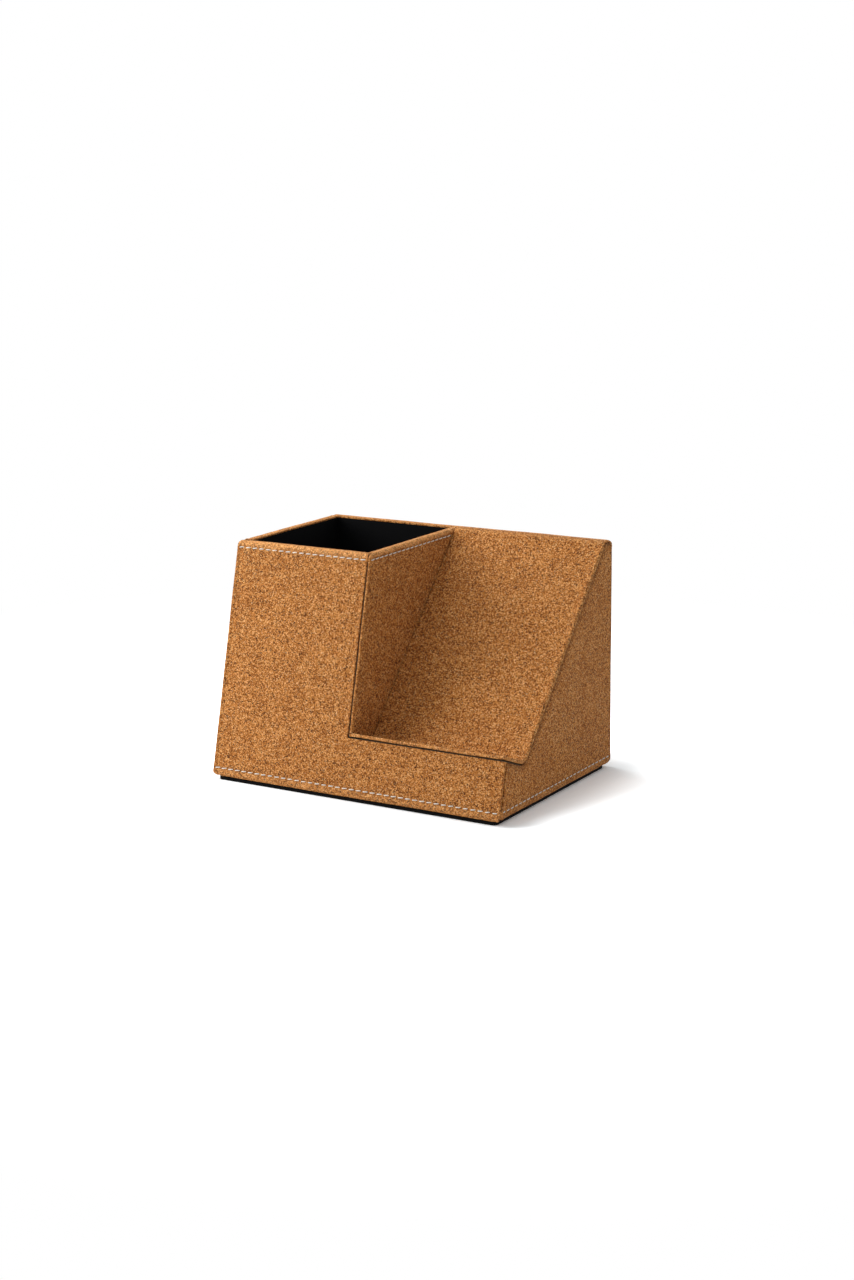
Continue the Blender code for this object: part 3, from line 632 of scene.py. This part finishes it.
def cut_port(skin):
    """Cuts the inlet's opening through the back skin, a little larger than its frame."""
    low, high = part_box("socket_bezel")
    middle = (low + high) / 2
    half_x, half_z = (high.x - low.x) / 2 + glue_gap, (high.z - low.z) / 2 + glue_gap
    radius = min(half_x, half_z) * port_roundness
    outline = []
    for quarter, (side_x, side_z) in enumerate(((1, 1), (-1, 1), (-1, -1), (1, -1))):
        for angle in np.linspace(quarter, quarter + 1, fold_steps + 1) * math.pi / 2:
            outline.append((middle.x + side_x * (half_x - radius) + radius * math.cos(angle),
                            middle.z + side_z * (half_z - radius) + radius * math.sin(angle)))
    ring = np.arange(len(outline))
    onwards = np.roll(ring, -1)
    far = len(outline)
    walls = np.stack([onwards, ring, ring + far, onwards + far], axis=1)
    mesh = bpy.data.meshes.new("port_cutter")
    mesh.from_pydata([(x, y, z) for y in (back - wall, back + wall) for x, z in outline], [],
                     [ring.tolist(), (ring[::-1] + far).tolist(), *walls.tolist()])
    cutter = placed("port_cutter", mesh)
    modifier = skin.modifiers.new("port", "BOOLEAN")
    modifier.operation = "DIFFERENCE"
    modifier.object = cutter
    settle(skin)
    bpy.data.objects.remove(cutter)


def settle(obj):
    """Turns a piece's modifiers into its plain mesh."""
    graph = bpy.context.evaluated_depsgraph_get()
    mesh = bpy.data.meshes.new_from_object(obj.evaluated_get(graph))
    obj.modifiers.clear()
    obj.data = mesh


def ends_moved(y, start, end, start_fix, end_fix):
    """Moves the two ends of each row, less and less away from them."""
    near_start = np.clip(1 - (y - start) / end_reach, 0, 1)
    near_end = np.clip(1 - (end - y) / end_reach, 0, 1)
    return y + near_start * start_fix + near_end * end_fix


def side_ends(y, start, z, flap):
    """Moves a side skin's ends: away from the other caps at the rim, and in at the foot's turn."""
    on_cap = z > height - lap
    tuck = (np.clip(fold_top - z, 0, foot_radius) / foot_radius) ** 2 * foot_tuck
    tuck = tuck + np.maximum(flap, 0)[:, None]
    start_fix = np.where(on_cap, front_cap_end + glue_gap - start, 0) + tuck
    return ends_moved(y, start, side_end, start_fix, np.where(on_cap, cork - wall, 0) - tuck)


def make_left():
    """The left skin, turned under the foot and over the rim. It starts behind the leaning front skin."""
    section = Section([(-half_width + turn_under, skin_foot), (-half_width, skin_foot), (-half_width, height),
                       (-half_width + wall, height)], [foot_radius, rim_radius])
    foot_sewn, rim_sewn = section.height_at(foot_row), section.height_at(rim_row)
    places = section.rows([foot_sewn, rim_sewn])
    _, z = spread(section, places)[0]
    start = side_front.point.x + (np.maximum(z, fold_top) - side_front.point.y) * math.tan(front_lean)
    straight = start + even(0, 1, step=column_step / (back * 2)) * (side_end - start)
    backwards = side_ends(straight, start, z, section.breaks[1] - places)
    points, outward = lengthwise(section, places, backwards)
    rows = []
    for place, row_z in ((foot_sewn, foot_row), (rim_sewn, rim_row)):
        holes = hole_places(side_front.at_height(row_z).x + row_end / 2, side_end - row_end / 2)
        rows.append(((places - place)[:, None], points[..., 1], holes))
        sewn_row("left_stitching", holes, (-half_width, None, row_z), (-1, 0, 0))
    from_front = points[..., 1] - points[:, :1, 1]
    points, sewn = dress(points, outward, rows, from_front, cap_sag(places - section.breaks[-2]))
    return cork_skin("left_cork", points, outward, section.wear_and_highlight_at(places), sewn)


def under_tray(y, distance):
    """The height of the surface this far under the tray's outer face, round where ledge and slope meet."""
    ledge, slope = ledge_face.moved(distance), slope_face.moved(distance)
    on_ledge = ledge.point.y + (y - ledge.point.x) * math.tan(ledge.angle)
    on_slope = slope.point.y + (y - slope.point.x) * math.tan(slope.angle)
    centre = ledge_face.moved(-seat_radius).meet(slope_face.moved(-seat_radius))
    radius = seat_radius + distance
    on_fold = centre.y - np.sqrt(np.maximum(radius ** 2 - (y - centre.x) ** 2, 0))
    folded = (y - centre.x > radius * math.sin(ledge.angle)) & (y - centre.x < radius * math.sin(slope.angle))
    return np.where(folded, on_fold, np.maximum(on_ledge, on_slope))


def make_right():
    """The right skin, turned under the foot and cut along the underside of the tray's hem."""
    distance = hem_thickness + seam_gap
    under_ledge, under_slope = ledge_face.moved(distance), slope_face.moved(distance)
    edge, corner = side_front.meet(under_ledge), under_ledge.meet(under_slope)
    edge_y = even(edge.x, corner.x, under_slope.at_height(height - lap).x, side_end)
    edge_z = np.minimum(under_tray(edge_y, distance), height - lap)
    section = Section([(half_width - turn_under, skin_foot), (half_width, skin_foot), (half_width, height)],
                      [foot_radius])
    lean = (side_front.at_height(fold_top).x - edge.x) * np.clip(
        1 - (edge_y - edge.x) / (corner.x - edge.x + end_reach), 0, 1)
    places = section.turned_rows()
    _, z = spread(section, places)[0]
    backwards = side_ends(edge_y, edge.x, z, section.breaks[1] - places) + lean
    levels = graded((fold_top, foot_row, foot_row + foot_row_height), [foot_row])[1:]
    points, outward = joined(
        lengthwise(section, places, backwards),
        face_rows(half_width, levels, right_share_coarse, fold_top, edge_y + lean, edge_z, edge_y))
    holes = hole_places(side_front.at_height(foot_row).x + row_end / 2, side_end - row_end / 2)
    sewn_row("right_stitching", holes, (half_width, None, foot_row), (1, 0, 0))
    places = np.concatenate([places, section.breaks[2] + levels - fold_top])
    places = np.pad(places, (0, len(points) - len(places)), constant_values=section.breaks[-1])
    from_front = points[..., 1] - points[:, :1, 1]
    under_hem = (edge_z - points[..., 2]) * math.cos(slope_face.angle)
    press = hem_press * bell(under_hem, hem_press_width)
    rows = [(points[..., 2] - foot_row, points[..., 1], holes)]
    points, sewn = dress(points, outward, rows, from_front, press)
    # The pressed strip under the hem is also marked for painted shade
    return cork_skin("right_cork", points, outward, section.wear_and_highlight_at(places), sewn, {"glued": press / hem_press},
                     depth=cork - press * pressed_thin, rounding=right_rounding)


def make_divider():
    """The skin on the bay side of the divider: its cut front edge lies flush with the front."""
    section = Section([(divider_face - wall, height), (divider_face, height), (divider_face, skin_foot)],
                      [rim_radius])
    face_top = height - rim_radius
    front_low, front_high = front_face.meet(ledge_face.moved(hem_thickness)), front_face.at_height(face_top)
    columns = np.concatenate([[0], even(first_column, side_end - front_high.x)])
    top_y = front_high.x + columns
    lean_share = np.clip(1 - columns / (seat.x - front_low.x + divider_lean_reach), 0, 1)
    low_y = top_y + (front_low.x - front_high.x) * lean_share
    low_z = np.minimum(under_tray(low_y, hem_thickness), face_top - rim_row_depth - divider_end_depth)
    low_z[0] = front_low.y
    places = section.turned_rows()
    x, z = spread(section, places)[0]
    on_cap = x < divider_face - divider_lip
    rounded = rim_radius - np.sqrt(np.maximum(rim_radius ** 2 - (z - face_top) ** 2, 0))
    start_fix = np.where(on_cap, front_cap_end + glue_gap - front_high.x, rounded)
    end_fix = np.where(on_cap, cork - wall, (bay_cap_end - glue_gap - side_end) * (z > height - lap))
    backwards = ends_moved(top_y, front_high.x, side_end, start_fix, end_fix)
    row_drop = rim_row_depth - rim_radius
    levels = face_top - graded((0, row_drop, rim_row_depth), [row_drop])[1:]
    points, outward = joined(
        lengthwise(section, places, backwards),
        face_rows(divider_face, levels, divider_share_coarse, face_top, top_y, low_z, low_y))
    holes = hole_places(front_face.at_height(rim_row).x + row_end, slope_face.at_height(rim_row).x - row_end)
    sewn_row("divider_stitching", holes, (divider_face, None, rim_row), (1, 0, 0))
    places = np.pad(places, (0, len(points) - len(places)), constant_values=section.breaks[-1])
    rows = [(points[..., 2] - rim_row, points[..., 1], holes)]
    points, sewn = dress(points, outward, rows, sag=cap_sag(section.breaks[1] - places))
    sewn = sewn * (points[..., 0] > divider_face - rim_radius / 2)
    return cork_skin("divider_cork", points, outward, section.wear_and_highlight_at(places), sewn,
                     depth=lipped(columns, divider_lip, divider_lip_width))


def make_tray():
    """The skin over ledge and slope, with turned hems along its front, right and top edges."""
    section = Section([ledge_face.point - ledge_face.along * hem_proud, seat, slope_top], [seat_radius])
    total = section.breaks[-1]
    places = section.rows([0, hem_band, total - hem_band, total])
    stops = (tray_left, tray_right - hem_band, tray_right)
    across = graded(stops, stops)
    points, outward = crosswise(section, places, np.tile(across, (len(places), 1)))
    edge_distance = np.minimum(np.minimum(places, total - places)[:, None], tray_right - across)
    field = smooth_share((edge_distance - hem_band) / hem_step + 0.5)
    to_corner = np.hypot(places[:, None] - hem_rounding, tray_right - hem_rounding - across)
    change = hem_corner_bump * bell(to_corner, hem_thickness) + slack(points, tray_waves) - hem_relief * field
    top_share = smooth_share((places - total) / tray_top_lean + 1)[:, None]
    # Rubbing and painted highlight along the hems' edges
    worn = bell(edge_distance, hem_wear_and_highlight_width) * hem_wear_and_highlight
    points = round_corners(points + outward * change[..., None])
    return cork_skin("tray_cork", points, outward, worn, 0.0,
                     depth=hem_thickness + (cork - hem_thickness) * field,
                     rounding=np.where(across < tray_left + hem_width, cut_rounding, hem_rounding),
                     skew=(top_share, (0, 1 / math.sin(slope_face.angle), 0)))


def operator(operation, turned=False):
    """A method that adds a Math node for one of Python's operators."""
    def method(self, other):
        return self.tree.maths(operation, *((other, self) if turned else (self, other)))
    return method


class Socket:
    """An output of a node. Operators on it add Math nodes, and [] picks another output of its node."""

    def __init__(self, tree, socket):
        self.tree = tree
        self.socket = socket

    def __getitem__(self, name):
        return Socket(self.tree, self.socket.node.outputs[name])

    __add__, __radd__ = operator("ADD"), operator("ADD", turned=True)
    __sub__, __rsub__ = operator("SUBTRACT"), operator("SUBTRACT", turned=True)
    __mul__, __rmul__ = operator("MULTIPLY"), operator("MULTIPLY", turned=True)
    __gt__, __lt__ = operator("GREATER_THAN"), operator("LESS_THAN")

    def between(self, low, high):
        """0 below low, 1 above high and a smooth rise between; falls where low is above high."""
        return self.tree.add("ShaderNodeMapRange", {"interpolation_type": "SMOOTHSTEP"},
                             {"Value": self, "From Min": low, "From Max": high})


class Tree:
    """Adds nodes to a tree: first their settings, then the values or links of their sockets."""

    def __init__(self, tree):
        self.tree = tree

    def add(self, kind, settings=None, inputs=None):
        """Gives the new node's first output."""
        node = self.tree.nodes.new(kind)
        for name, value in (settings or {}).items():
            if name == "stops":
                self.set_stops(node.color_ramp, value)
            else:
                setattr(node, name, value)
        for name, value in (inputs or {}).items():
            if isinstance(value, Socket):
                self.tree.links.new(value.socket, node.inputs[name])
            else:
                node.inputs[name].default_value = value
        return Socket(self, node.outputs[0]) if node.outputs else None

    @staticmethod
    def set_stops(ramp, stops):
        while len(ramp.elements) < len(stops):
            ramp.elements.new(1.0)
        for element, (place, colour) in zip(ramp.elements, stops):
            element.position = place
            element.color = (*colour, 1.0)

    def maths(self, operation, *values):
        return self.add("ShaderNodeMath", {"operation": operation}, dict(enumerate(values)))

    def mix(self, share, first, second, blend="MIX"):
        """Blends two colours."""
        inputs = {0: share, 6: first, 7: second}
        for number in (6, 7):
            if not isinstance(inputs[number], Socket):
                inputs[number] = (*inputs[number], 1.0)
        return self.add("ShaderNodeMix", {"data_type": "RGBA", "blend_type": blend}, inputs)[2]


class Finish(Tree):
    """A material with a bare Principled shader. Values that are even all over are set on it here."""

    def __init__(self, name, **even_values):
        self.material = bpy.data.materials.new(name)
        self.material.use_nodes = True
        super().__init__(self.material.node_tree)
        self.shader = self.tree.nodes["Principled BSDF"]
        for socket, value in even_values.items():
            self.shader.inputs[socket.replace("_", " ")].default_value = value
        self.coords = self.add("ShaderNodeTexCoord")["Object"]

    def connect(self, colour, roughness, heights, depth, strength=0.5):
        """Links what changes over the surface to the shader, and gives the material."""
        normal = self.add("ShaderNodeBump", None,
                          {"Height": heights, "Distance": depth, "Strength": strength})
        varying = {"Base Color": colour, "Roughness": roughness, "Normal": normal}
        for name, value in varying.items():
            self.tree.links.new(value.socket, self.shader.inputs[name])
        return self.material

    def noise(self, scale, detail=2.0, output="Fac", coords=None):
        inputs = {"Vector": coords or self.coords, "Scale": scale, "Detail": detail}
        return self.add("ShaderNodeTexNoise", None, inputs)[output]

    def grains(self, scale, coords, feature="F1"):
        return self.add("ShaderNodeTexVoronoi", {"feature": feature}, {"Vector": coords, "Scale": scale})

    def shifted(self, scale, amount):
        """Coordinates moved by a coloured noise, evenly to all sides."""
        moves = {0: self.noise(scale, 2, "Color"), 1: (0.5, 0.5, 0.5)}
        centred = self.add("ShaderNodeVectorMath", {"operation": "SUBTRACT"}, moves)["Vector"]
        return self.add("ShaderNodeVectorMath", {"operation": "MULTIPLY_ADD"},
                        {0: centred, 1: (amount, amount, amount), 2: self.coords})

    def stretched(self, scale):
        return self.add("ShaderNodeMapping", None, {"Vector": self.coords, "Scale": scale})

    def parts(self, colour):
        return self.add("ShaderNodeSeparateColor", None, {"Color": colour})

    def mark(self, name):
        return self.add("ShaderNodeAttribute", {"attribute_name": name})["Fac"]


def cork_finish():
    """Granulated cork: grains of every tone cut flat, dark bark specks, pale flecks, folds paler from rubbing
    and painted highlight.
    """
    finish = Finish("natural_cork", Specular_IOR_Level=0.14)
    ragged = finish.shifted(ragged_scale, ragged_reach)
    large, small = [finish.parts(finish.grains(scale, ragged)["Color"])
                    for scale in (granule_scale, crumb_scale)]
    joint = finish.grains(granule_scale, ragged, "DISTANCE_TO_EDGE").between(0.0, 0.09)
    cloudy, patchy = finish.noise(95, 3), finish.noise(480)
    tone = large["Red"] * 0.65 + small["Red"] * 0.47 - 0.06
    tone = tone + (cloudy - 0.5) * 0.14 + (patchy - 0.5) * 0.16
    bark = finish.grains(bark_scale, ragged)
    speck = (finish.parts(bark["Color"])["Green"] > 0.70) * bark.between(0.38, 0.28)
    fleck = (small["Green"] > 0.955) * (large["Blue"] > 0.3)
    # The folds are paler from rubbing and painted highlight
    rubbed_and_highlit = finish.mark("worn") * finish.noise(900, 3).between(0.15, 0.70)
    colour = finish.add("ShaderNodeValToRGB", {"stops": cork_tones}, {"Fac": tone})
    for share, layer, blend in (
            ((1 - joint) * 0.42, joint_brown, "MIX"), (speck * 0.9, bark_brown, "MIX"),
            (fleck * 0.55, fleck_cream, "MIX"), (rubbed_and_highlit * 0.60, wear_and_highlight_gain, "ADD"),
            # Painted shade in the sewn grooves
            (finish.mark("sewn") * 0.16, groove_shade_brown, "MIX"),
            # Painted shade under the tray's hem
            (finish.mark("glued") * 0.55, hem_shade_brown, "MIX")):
        colour = finish.mix(share, colour, layer, blend)
    heights = joint * 0.55 + large["Green"] * 0.45 + small["Blue"] * 0.35
    heights = heights + finish.noise(4200) * 0.3 - speck * 0.5
    return finish.connect(colour, 0.86 - tone * 0.16 - rubbed_and_highlit * 0.06, heights, 0.00009, 0.75)


def thread_finish():
    """Off-white sewing thread, twisted from three strands."""
    finish = Finish("sewing_thread", Specular_IOR_Level=0.35)
    twist = (finish.mark("along") * 5.0 + finish.mark("around") * 3.0) * math.tau
    groove = finish.maths("SINE", twist).between(-1.0, 0.4)
    fuzz = finish.noise(9000, 3)
    # Painted shade: the thread is darker in the grooves between its strands
    colour = finish.mix(groove, (0.62, 0.57, 0.48), (0.93, 0.91, 0.85))
    colour = finish.mix(finish.noise(240).between(0.4, 0.75) * 0.20, colour, (0.66, 0.56, 0.43))
    return finish.connect(colour, 0.62 + fuzz * 0.25, groove + fuzz * 0.35, 0.00006, 0.8)


def lining_finish():
    """Black lining paper with a fine pressed grain and lint."""
    finish = Finish("black_lining", Specular_IOR_Level=0.05)
    pressed = finish.grains(2400, finish.shifted(900, 0.0004))
    cloudy = finish.noise(130, 4)
    lint = finish.noise(3200).between(0.72, 0.80)
    colour = finish.mix(cloudy, (0.0016, 0.0016, 0.0018), (0.0045, 0.0045, 0.0050))
    colour = finish.mix(lint * 0.3, colour, (0.040, 0.038, 0.036))
    return finish.connect(colour, 0.60 + cloudy * 0.22 + pressed * 0.1, pressed + cloudy * 0.4, 0.00006)


def pressed_finish(name, dark, light, scale, roughness, depth, specular):
    """A plain pressed or moulded surface: a fine grain and a slow change of tone."""
    finish = Finish(name, Specular_IOR_Level=specular)
    grain = finish.grains(scale, finish.shifted(scale * 0.6, 0.4 / scale))
    cloudy = finish.noise(scale * 0.08, 4)
    colour = finish.mix(cloudy, dark, light)
    return finish.connect(colour, roughness - 0.08 + cloudy * 0.16, grain + cloudy * 0.3, depth)


def board_finish():
    """Grey bookbinding board: pulp fibres and flecks of other paper, in tones darkened and browned as painted
    shade for the seams where it shows.
    """
    finish = Finish("greyboard", Specular_IOR_Level=0.2)
    fibres = finish.noise(2600, 3, coords=finish.stretched((0.25, 1.0, 0.6)))
    # Tones darker and browner than plain greyboard, as painted shade in the open seams where the board shows
    colour = finish.mix(fibres, (0.120, 0.085, 0.052), (0.240, 0.180, 0.120))
    colour = finish.mix(finish.noise(1400).between(0.68, 0.74) * 0.5, colour, (0.07, 0.06, 0.06))
    return finish.connect(colour, 0.82 + fibres * 0.12, fibres, 0.00008)


def metal_finish(name, dark, light, stretch, roughness):
    """Drawn or plated metal with fine lines along its making."""
    finish = Finish(name, Metallic=1.0)
    lines = finish.noise(3000, 3, coords=finish.stretched(stretch))
    return finish.connect(finish.mix(lines, dark, light), roughness + lines * 0.18, lines, 0.00002, 0.4)


def circuit_finish():
    """Green solder mask over copper tracks."""
    finish = Finish("solder_mask", Coat_Roughness=0.2)
    black, white = (0, 0, 0, 1), (1, 1, 1, 1)
    tracks = finish.add("ShaderNodeTexBrick", {"offset": 0.5}, {
        "Vector": finish.coords, "Scale": 260.0, "Mortar Size": 0.018, "Color1": black, "Color2": black,
        "Mortar": white})["Fac"]
    colour = finish.mix(tracks, (0.010, 0.085, 0.034), (0.030, 0.190, 0.075))
    return finish.connect(colour, 0.32 + finish.noise(800) * 0.2, tracks, 0.00003)


def stitch_tree(thread):
    """The node group that lays one dash of thread between each two holes of a row."""
    group = bpy.data.node_groups.new("stitching", "GeometryNodeTree")
    face = group.interface
    face.new_socket("Geometry", in_out="INPUT", socket_type="NodeSocketGeometry")
    sizes = {"Pitch": stitch_pitch, "Dash Length": dash_length, "Thread Radius": thread_radius,
             "Rise": thread_rise, "Sink": thread_sink, "Slant": stitch_slant}
    for name, value in sizes.items():
        face.new_socket(name, in_out="INPUT", socket_type="NodeSocketFloat").default_value = value
    face.new_socket("Seed", in_out="INPUT", socket_type="NodeSocketInt")
    face.new_socket("Geometry", in_out="OUTPUT", socket_type="NodeSocketGeometry")
    tree = Tree(group)
    given = tree.add("NodeGroupInput")
    walked = tree.add("GeometryNodeSplineParameter")

    def point(x, z):
        return tree.add("ShaderNodeCombineXYZ", None, {"X": x, "Z": z})

    def marked(curve, name):
        return tree.add("GeometryNodeStoreNamedAttribute", {"data_type": "FLOAT", "domain": "POINT"},
                        {"Geometry": curve, "Name": name, "Value": walked})

    def stored(name, kind):
        return tree.add("GeometryNodeInputNamedAttribute", {"data_type": kind}, {"Name": name})

    reach, sunk = given["Dash Length"] * 0.5, 0.0 - given["Sink"]
    arch = tree.add("GeometryNodeCurveQuadraticBezier", None, {
        "Resolution": dash_steps, "Start": point(0.0 - reach, sunk),
        "Middle": point(0.0, given["Rise"] * 2.0 + given["Sink"]), "End": point(reach, sunk)})
    ring = tree.add("GeometryNodeCurvePrimitiveCircle", None,
                    {"Resolution": thread_sides, "Radius": given["Thread Radius"]})
    dash = tree.add("GeometryNodeCurveToMesh", None, {
        "Curve": marked(arch, "along"), "Profile Curve": marked(ring, "around"), "Fill Caps": True})
    smooth = tree.add("GeometryNodeSetShadeSmooth", None, {"Geometry": dash})
    path = tree.add("GeometryNodeMeshToCurve", None, {"Mesh": given["Geometry"]})
    spacing = given["Pitch"] * stored("fit", "FLOAT") * pitch_ease
    spaced = tree.add("GeometryNodeResampleCurve", {"mode": "LENGTH"}, {"Curve": path, "Length": spacing})
    facing = tree.add("FunctionNodeAxesToRotation", {"primary_axis": "Z", "secondary_axis": "X"}, {
        "Primary Axis": stored("outward", "FLOAT_VECTOR"),
        "Secondary Axis": tree.add("GeometryNodeInputTangent")})
    wobble = tree.add("FunctionNodeRandomValue", {"data_type": "FLOAT"},
                      {2: -slant_spread, 3: slant_spread, "Seed": given["Seed"]})[1]
    turn = tree.add("FunctionNodeAxisAngleToRotation", None,
                    {"Axis": (0.0, 0.0, 1.0), "Angle": given["Slant"] + wobble})
    slanted = tree.add("FunctionNodeRotateRotation", {"rotation_space": "LOCAL"},
                       {"Rotation": facing, "Rotate By": turn})
    laid = tree.add("GeometryNodeInstanceOnPoints", None,
                    {"Points": spaced, "Instance": smooth, "Rotation": slanted})
    plain = tree.add("GeometryNodeRealizeInstances", None, {"Geometry": laid})
    coloured = tree.add("GeometryNodeSetMaterial", None, {"Geometry": plain, "Material": thread})
    tree.add("NodeGroupOutput", None, {"Geometry": coloured})
    return group


def make_stitching(thread):
    """The thread of each panel, laid along its rows."""
    group = stitch_tree(thread)
    seed_input = next(item.identifier for item in group.interface.items_tree if item.name == "Seed")
    for seed, (name, rows) in enumerate(thread_rows.items()):
        vertices, edges, facing, fits = [], [], [], []
        for path, outward, fit in rows:
            first, count = len(vertices), len(path)
            vertices += (path - outward * groove_depth).tolist()
            edges += [(first + step, first + step + 1) for step in range(count - 1)]
            facing += [outward] * count
            fits += [fit] * count
        mesh = bpy.data.meshes.new(name)
        mesh.from_pydata(vertices, edges, [])
        mesh.attributes.new("outward", "FLOAT_VECTOR", "POINT").data.foreach_set("vector", np.ravel(facing))
        mesh.attributes.new("fit", "FLOAT", "POINT").data.foreach_set("value", fits)
        obj = placed(name, mesh)
        modifier = obj.modifiers.new("stitching", "NODES")
        modifier.node_group = group
        modifier[seed_input] = seed
        settle(obj)
        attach(obj, "root")


def paint(material, names):
    """Gives CAD nodes their finish."""
    for name in names.split():
        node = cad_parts[name]
        if not node.material_slots:
            node.data.materials.append(material)
        for slot in node.material_slots:
            slot.material = material


def paint_inside():
    """The finishes of the pieces that keep their CAD shape."""
    for name, (*look, nodes) in pressed_finishes.items():
        paint(pressed_finish(name, *look), nodes)
    for name, (*look, nodes) in metal_finishes.items():
        paint(metal_finish(name, *look), nodes)
    paint(lining_finish(), "lining_front lining_left lining_back lining_divider lining_floor")
    paint(board_finish(), "base_board front_board left_board right_board back_board divider_board "
                          "ledge_board slope_board")
    paint(circuit_finish(), "control_board")


def make_floor():
    """A pale floor: white to the camera, and it keeps the shadow near the object, lifted by painted light that
    grows away from the body.
    """
    mesh = bpy.data.meshes.new("floor")
    corners = ((-1, -1), (1, -1), (1, 1), (-1, 1))
    mesh.from_pydata([(x * floor_reach, y * floor_reach, 0) for x, y in corners], [], [(0, 1, 2, 3)])
    material = bpy.data.materials.new("pale_floor")
    material.use_nodes = True
    material.node_tree.nodes.clear()
    tree = Tree(material.node_tree)

    def past(value, limit):
        """How far a value lies past a limit on either side of zero."""
        return tree.maths("MAXIMUM", tree.maths("ABSOLUTE", value) - limit, 0.0)

    seen = seen_directly(tree)
    coords = tree.add("ShaderNodeTexCoord")["Object"]
    place = tree.add("ShaderNodeSeparateXYZ", None, {"Vector": coords})
    beside, beyond = past(place["X"], half_width), past(place["Y"], back)
    away = tree.maths("SQRT", beside * beside + beyond * beyond)
    tone = floor_tone + seen * (shadow_lift + away.between(0.0, lift_width))
    pale = tree.add("ShaderNodeCombineColor", None, {
        "Red": tone, "Green": tone * (1 + seen * shadow_green),
        "Blue": tone * (1 + seen * shadow_blue)})
    lifted = tree.add("ShaderNodeBsdfDiffuse", None, {"Color": pale})
    white = tree.add("ShaderNodeEmission", None, {"Color": (1.0, 1.0, 1.0, 1.0)})
    turned_white = seen * away.between(white_start, white_end)
    both = tree.add("ShaderNodeMixShader", None, {0: turned_white, 1: lifted, 2: white})
    tree.add("ShaderNodeOutputMaterial", None, {"Surface": both})
    mesh.materials.append(material)
    placed("floor", mesh)


def seen_directly(tree):
    """1 for rays that show the surface itself: from the camera, or through gloss and glass."""
    path = tree.add("ShaderNodeLightPath")
    seen = tree.maths("MAXIMUM", path["Is Camera Ray"], path["Is Glossy Ray"])
    return tree.maths("MAXIMUM", seen, path["Is Transmission Ray"])


def make_light():
    """Soft studio light from the front left and above over an even fill, white where the camera sees it."""
    world = bpy.data.worlds.new("studio")
    bpy.context.scene.world = world
    world.use_nodes = True
    tree = Tree(world.node_tree)
    background = world.node_tree.nodes["Background"]
    background.inputs["Color"].default_value = (1.0, 1.0, 1.0, 1.0)
    strength = fill_strength + seen_directly(tree) * (1 - fill_strength)
    world.node_tree.links.new(strength.socket, background.inputs["Strength"])
    for name, (place, size, power) in lamps.items():
        lamp = bpy.data.lights.new(name, "AREA")
        lamp.shape = "SQUARE"
        lamp.size = size
        lamp.energy = power
        obj = placed(name, lamp)
        obj.location = place
        obj.rotation_euler = (lamp_target - obj.location).to_track_quat("-Z", "Y").to_euler()


def make_camera():
    """The photograph's viewing angle and frame."""
    camera = bpy.data.cameras.new("camera")
    camera.sensor_width = sensor_size
    camera.lens = focal_length
    camera.clip_start, camera.clip_end = 0.01, 20.0
    away = Vector((math.sin(view_azimuth) * math.cos(view_elevation),
                   -math.cos(view_azimuth) * math.cos(view_elevation), math.sin(view_elevation)))
    obj = placed("camera", camera)
    obj.location = view_target + away * view_distance
    obj.rotation_euler = (away.to_track_quat("Z", "Y") @ Quaternion((0, 0, 1), view_roll)).to_euler()
    bpy.context.scene.camera = obj


def build():
    skins = [make_front(), make_left(), make_right(), make_back(), make_divider(), make_tray()]
    covering = cork_finish()
    for skin in skins:
        skin.data.materials.append(covering)
    make_stitching(thread_finish())
    paint_inside()
    make_floor()
    make_light()
    make_camera()
    bpy.context.scene.view_settings.view_transform = "Standard"


build()
